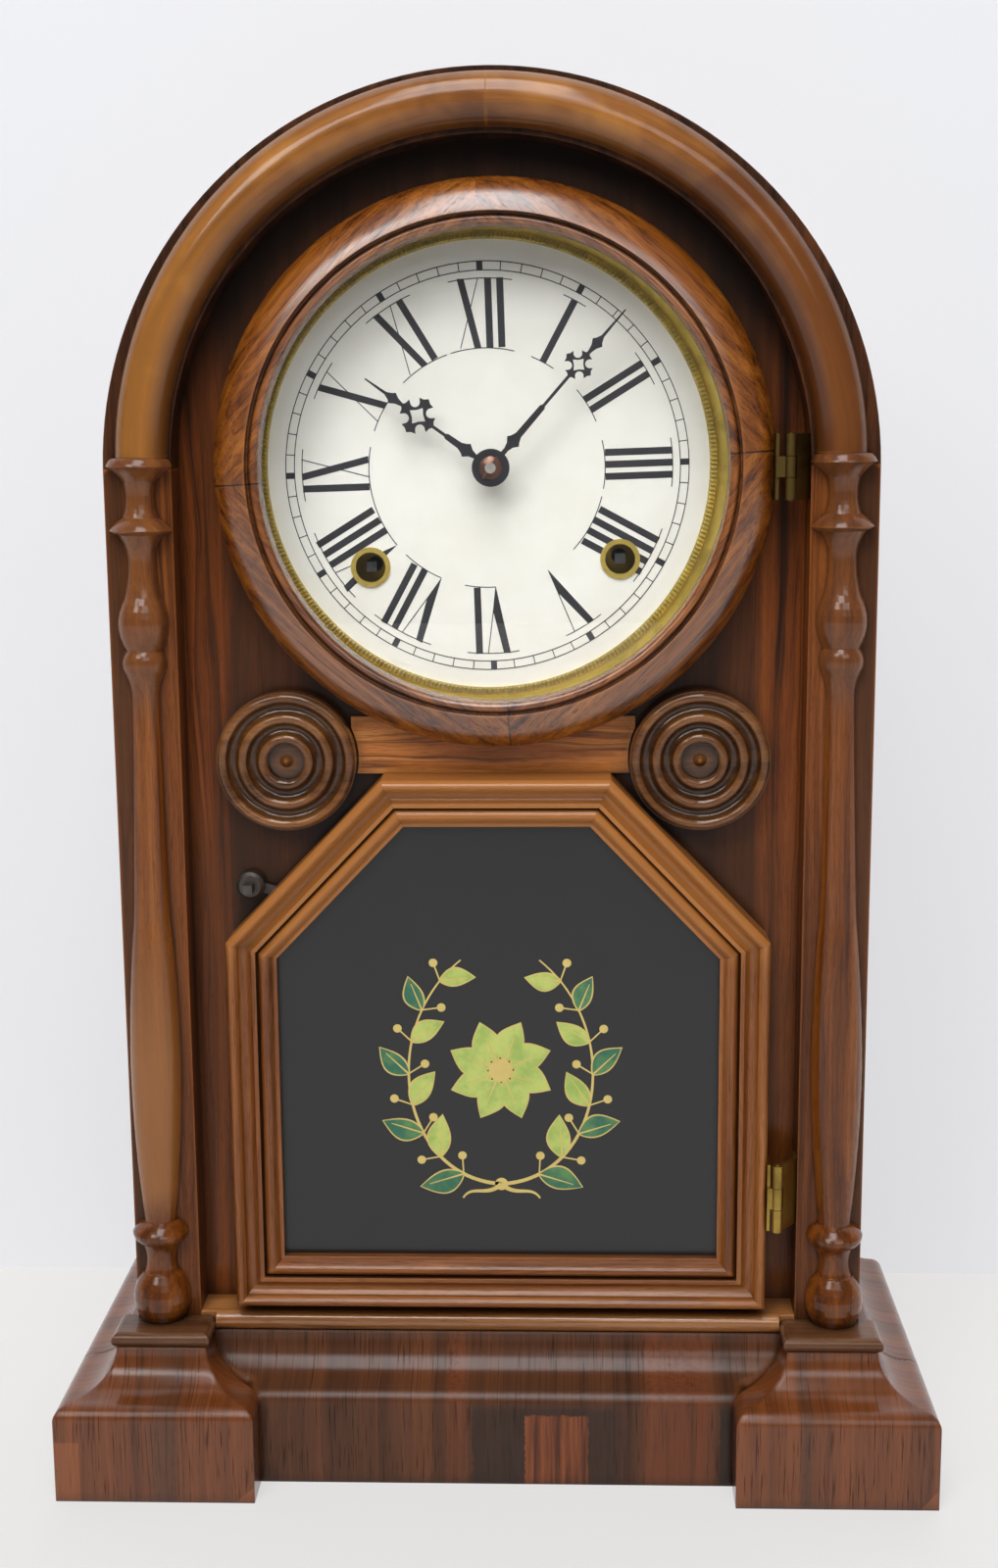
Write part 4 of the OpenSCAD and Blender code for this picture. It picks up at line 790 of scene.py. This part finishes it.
def tablet_design(gold, lime, teal):
    lines, veins, pale, deep = [], [], [], []
    for mirror in (-1, 1):
        branch, tail = ([(DESIGN[0] + mirror * x, DESIGN[1] + z) for x, z in curve]
                        for curve in (BRANCH, TAIL))
        run = [bezier(branch, i / BRANCH_STEPS)[0] for i in range(BRANCH_STEPS + 1)]
        lines.append(strip(run, [1.3 - 0.8 * i / BRANCH_STEPS for i in range(BRANCH_STEPS + 1)]))
        for i in range(LEAVES):
            root, turn = bezier(branch, 0.14 + 0.11 * i)
            side = 1 if i % 2 else -1
            aim = turn + side * mirror * math.radians(46)
            length, width = 15.0 - 0.5 * i, 7.4 - 0.25 * i
            lines.append(leaf(root, aim, length, width, 0.55))
            (pale if i % 2 else deep).append(leaf(root, aim, length, width))
            veins.append(strip([root, off(root, 0.8 * length, aim)], [0.6, 0.25]))
            berry = off(root, 6.5, turn - side * mirror * math.radians(58))
            lines.append(strip([root, berry], [0.5, 0.5]))
            lines.append(disc(berry, 1.45))
        run = [bezier(tail, i / TAIL_STEPS)[0] for i in range(TAIL_STEPS + 1)]
        lines.append(strip(run, [1.6 - 0.06 * i for i in range(TAIL_STEPS + 1)]))
    for i in range(PETALS):
        turn = math.radians(45 * i + 22.5)
        root = off(HEART, 3.6, turn)
        lines.append(leaf(root, turn, PETAL_LENGTH, PETAL_WIDTH, 0.5))
        pale.append(leaf(root, turn, PETAL_LENGTH, PETAL_WIDTH))
        veins.append(strip([root, off(root, 8.5, turn)], [0.7, 0.25]))
    lines.append(disc(KNOT, 2.2))
    veins.append(disc(HEART, 4.0))
    front, back = TABLET_FRONT, TABLET_FRONT + 0.06
    for name, shapes, rise, material, slot in (
            ("tablet_lines", lines, 0.02, gold, "brass"), ("tablet_pale", pale, 0.10, lime, "dial_paint"),
            ("tablet_deep", deep, 0.10, teal, "dial_paint"), ("tablet_veins", veins, 0.18, gold, "brass")):
        prisms(name, shapes, front - rise, back, material, "tablet_door")


# Stage and light, in metres
FAR, WALL_Y = 3.0, 0.122
LAMPS_AIM = (0, 0, 0.25)
WORLD_COLOUR, WORLD_STRENGTH = (0.93, 0.95, 0.98, 1), 0.12


def stage_plane(name, corners, colour, tone, share, see_through=False):
    """A plain surface, part of whose tone is even whatever the light, with the shadows kept on it.

    One that is see_through can't be seen from behind, and casts no shadow.
    """
    mesh = bpy.data.meshes.new(name)
    mesh.from_pydata(corners, [], [(0, 1, 2, 3)])
    piece = bpy.data.objects.new(name, mesh)
    scene.collection.objects.link(piece)
    s = Shader(name)
    s.set(Base_Color=colour, Roughness=0.75, Specular_IOR_Level=0.2)
    path = s.add("ShaderNodeLightPath")
    seen = s.math("MAXIMUM", path.outputs["Is Camera Ray"], path.outputs["Is Glossy Ray"])
    seen = s.math("MAXIMUM", seen, path.outputs["Is Transmission Ray"])
    even = s.add("ShaderNodeEmission")
    even.inputs["Color"].default_value = (*tone, 1)
    shown = s.blend(s.math("MULTIPLY", seen, share), s.main.outputs[0], even.outputs[0])
    if see_through:
        behind = s.add("ShaderNodeNewGeometry").outputs["Backfacing"]
        s.blend(s.math("MAXIMUM", behind, path.outputs["Is Shadow Ray"]), shown,
                s.add("ShaderNodeBsdfTransparent").outputs[0])
    mesh.materials.append(s.material)


def lamp(name, place, size, power, colour=(1, 1, 1)):
    data = bpy.data.lights.new(name, "AREA")
    data.shape = "RECTANGLE"
    data.size, data.size_y = size
    data.energy = power
    data.color = colour
    piece = bpy.data.objects.new(name, data)
    scene.collection.objects.link(piece)
    piece.location = place
    piece.rotation_euler = (Vector(LAMPS_AIM) - Vector(place)).to_track_quat("-Z", "Y").to_euler()


def make_stage():
    stage_plane("floor", [(-FAR, -FAR, 0), (FAR, -FAR, 0), (FAR, FAR, 0), (-FAR, FAR, 0)],
                (0.80, 0.79, 0.78), (0.885, 0.875, 0.87), 0.65)
    stage_plane("wall", [(-FAR, WALL_Y, 0), (FAR, WALL_Y, 0), (FAR, WALL_Y, FAR), (-FAR, WALL_Y, FAR)],
                (0.84, 0.845, 0.865), (0.925, 0.93, 0.965), 0.6, True)
    world = bpy.data.worlds.new("studio")
    scene.world = world
    world.use_nodes = True
    back = world.node_tree.nodes["Background"]
    back.inputs[0].default_value = WORLD_COLOUR
    back.inputs[1].default_value = WORLD_STRENGTH
    lamp("key", (-0.65, -1.15, 1.15), (0.5, 0.45), 4.8, (1.0, 0.985, 0.96))
    lamp("fill", (0.5, -1.6, 1.1), (1.0, 0.5), 4.3, (0.98, 0.99, 1.0))
    lamp("over", (-0.05, -0.65, 1.25), (0.5, 0.9), 9.0, (0.98, 0.985, 1.0))
    lamp("rear", (0.3, 1.4, 1.2), (1.4, 1.0), 9)


# Materials for the frame's nodes; the tones of a wood are its dark, middle and light
def dress(material, *names):
    for name in names:
        data = nodes[name].data
        if not data.materials:
            data.materials.append(material)
        for i in range(len(data.materials)):
            data.materials[i] = material


def dress_woods():
    base = (linear(44, 26, 15), linear(92, 55, 33), linear(124, 73, 41))
    foot = (linear(58, 30, 12), linear(119, 64, 28), linear(154, 84, 37))
    stile = (linear(45, 24, 10), linear(103, 55, 22), linear(148, 83, 34))
    case = (linear(30, 17, 10), linear(64, 36, 19), linear(96, 54, 27))
    panel = (linear(54, 28, 10), linear(124, 62, 20), linear(172, 92, 32))
    rose = (linear(68, 31, 5), linear(128, 68, 16), linear(174, 104, 32))
    rail = (linear(118, 60, 20), linear(218, 136, 66), linear(238, 164, 90))
    honey = (linear(96, 53, 18), linear(144, 88, 38), linear(174, 114, 54))
    walnut = (linear(90, 45, 15), linear(140, 80, 33), linear(174, 110, 55))
    column = (linear(74, 35, 8), linear(122, 64, 16), linear(160, 94, 34))
    rosette = (linear(56, 30, 12), linear(110, 67, 32), linear(144, 93, 47))
    cap = (linear(58, 34, 18), linear(98, 62, 38), linear(126, 84, 52))
    base_rail = (linear(108, 64, 29), linear(172, 111, 58), linear(204, 141, 80))
    pine = (linear(150, 108, 62), linear(186, 146, 94), linear(206, 170, 118))
    dress(timber("base_veneer", bent_veneer, *base, streak=0.15, figure=0.22, band=0.6, seed=1, pores=0.7,
                 coat=0.7, contrast=0.6, rounded=2.4, pitch=1.8, ior=1.4, extra=base_patches), "base_front")
    dress(timber("foot_veneer", bent_veneer, *foot, streak=0.15, figure=0.22, band=0.55, seed=1.6, pores=0.7,
                 coat=1.0, contrast=0.6, rounded=2.4, pitch=1.8, ior=1.5, extra=foot_patches),
          "left_foot", "right_foot", "base_sides")
    dress(timber("stile_veneer", upright, *stile, streak=0.5, figure=0.4, seed=2, coat=0.35, wear_and_highlight=0.9,
                 extra=stile_shade), "left_stile", "right_stile")
    dress(timber("case_veneer", upright, *case, streak=0.5, figure=0.4, seed=2.5, coat=0.4),
          "left_case_side", "right_case_side", "arch_board")
    dress(timber("top_veneer", round_arch, *case, streak=0.5, figure=0.3, seed=3, coat=0.4), "case_top")
    dress(timber("panel_veneer", upright, *panel, streak=0.45, figure=0.45, band=0.62, seed=4, coat=0.3,
                 grime_and_shade=0.95, extra=arch_shade), "front_panel")
    dress(timber("ring_wood", ring_quarters, *rose, streak=0.55, figure=0.35, band=0.3, seed=5, coat=1.0,
                 shine=0.26, grime_and_shade=0.45, ior=1.9, pitch=2.4, pores=0.6, extra=ring_joints), "dial_door_ring")
    dress(timber("rail_wood", level_x, *rail, streak=0.8, figure=0.7, band=0.4, seed=6), "centre_rail")
    dress(timber("bead_wood", round_arch, *honey, streak=0.12, figure=0.4, band=0.6, seed=7, pores=0.25,
                 coat=0.8, extra=bead_stain_and_shade), "left_arch_bead", "right_arch_bead")
    dress(timber("door_wood", door_mouldings, *walnut, streak=0.25, figure=0.5, band=0.4, seed=8, coat=0.7,
                 extra=slant_light), "tablet_door_frame")
    dress(timber("column_wood", upright, *column, streak=0.25, figure=0.5, band=0.45, seed=9, coat=0.8,
                 extra=column_wear), "left_column", "right_column")
    dress(timber("rosette_wood", level_x, *rosette, streak=0.2, figure=0.4, seed=10, grime_and_shade=1.0, wear_and_highlight=0.9,
                 coat=1.0, shine=0.08, rounded=0.15, nook=(4.0, 0.95, 0.5)), "rosettes")
    dress(timber("cap_wood", level_x, *cap, streak=0.3, figure=0.4, seed=11, coat=0.8), "foot_caps")
    dress(timber("base_rail_wood", level_x, *base_rail, streak=0.3, figure=0.4, seed=11, coat=1.0, ior=1.7),
          "base_rail")
    dress(timber("pine_wood", upright, *pine, streak=0.1, figure=0.6, gloss=0.6, coat=0.0, seed=12),
          "back_board")
    dress(timber("floor_wood", level_x, *pine, streak=0.1, figure=0.6, gloss=0.6, coat=0.0, seed=13),
          "base_floor")


def dress_the_rest():
    dress(metal("hinge_brass", linear(112, 92, 50), linear(60, 48, 28), 0.34),
          "dial_hinge_door_leaf", "dial_hinge_case_leaf")
    dress(metal("lower_hinge_brass", linear(176, 146, 74), linear(104, 84, 42), 0.32),
          "tablet_hinge_door_leaf", "tablet_hinge_case_leaf")
    dress(metal("aged_brass", linear(196, 168, 92), linear(130, 104, 48), 0.28),
          "front_plate", "back_plate", "time_great_wheel", "strike_great_wheel", "second_wheel",
          "centre_wheel", "third_wheel", "escape_wheel", "minute_wheel", "hour_wheel", "pendulum_bob",
          "strike_pin_wheel", "strike_third_wheel", "strike_fly")
    dress(metal("sight_brass", linear(206, 182, 96), linear(150, 132, 64), 0.34), "dial_brass")
    dress(metal("bright_steel", linear(176, 178, 182), linear(120, 118, 116), 0.3),
          "movement_posts", "verge", "pendulum_rod", "strike_hammer")
    dress(metal("arbor_steel", linear(84, 84, 86), linear(40, 38, 38), 0.42),
          "time_winding_arbor", "strike_winding_arbor")
    dress(metal("blued_steel", linear(90, 94, 112), linear(60, 58, 62), 0.32),
          "time_mainspring", "strike_mainspring", "gong")
    dress(metal("copper_cap", linear(124, 94, 80), linear(66, 48, 42), 0.34), "hand_washer")
    dress(metal("dark_iron", linear(112, 106, 102), linear(62, 56, 52), 0.46, 1.0), "door_catch", "gong_base")
    dress(paint("hand_black", linear(24, 25, 30), linear(34, 32, 34), 0.38), "minute_hand", "hour_hand")
    dress(paint("dial_white", linear(238, 238, 230), linear(228, 226, 214), 0.36, patch=0.5), "dial")
    dress(paint("black_back", linear(23, 23, 24), linear(28, 28, 28), 0.34, coat=0.35), "tablet_glass")
    dress(paint("old_putty", linear(160, 146, 120), linear(120, 106, 86), 0.8), "tablet_putty")
    dress(clear_glass("door_glass"), "dial_glass")


make_camera()
make_stage()
dress_woods()
dress_the_rest()
dial_print(paint("print_black", linear(30, 31, 36), linear(44, 44, 48), 0.5))
hand("hour_shape", "hour_hand", "hour",
     angle=305.3, length=49.0, low_cusp=9.6, step=17.9, high_cusp=38.4,
     cross={"at": 28.6, "reach": 6.35, "horn": 5.75, "bite_at": 4.35, "bite": 1.55, "hole": 2.0})
hand("minute_shape", "minute_hand", "centre",
     angle=41.3, length=65.0, low_cusp=11.0, step=25.8, high_cusp=51.6,
     cross={"at": 42.6, "reach": 5.1, "horn": 4.6, "bite_at": 3.45, "bite": 1.35, "hole": 1.6})
arbor_tip(metal("tip_steel", linear(196, 192, 184), linear(120, 112, 104), 0.3))
sight_knurl(metal("knurl_brass", linear(222, 204, 126), linear(150, 134, 70), 0.32))
tablet_design(
    paint("design_gold", linear(228, 204, 122), linear(206, 176, 88), 0.45, cloudy=0.2),
    paint("design_lime", linear(206, 218, 118), linear(160, 190, 92), 0.45, patch=0.9, cloudy=0.14),
    paint("design_teal", linear(52, 112, 88), linear(120, 164, 96), 0.45, patch=0.7, cloudy=0.14),
)
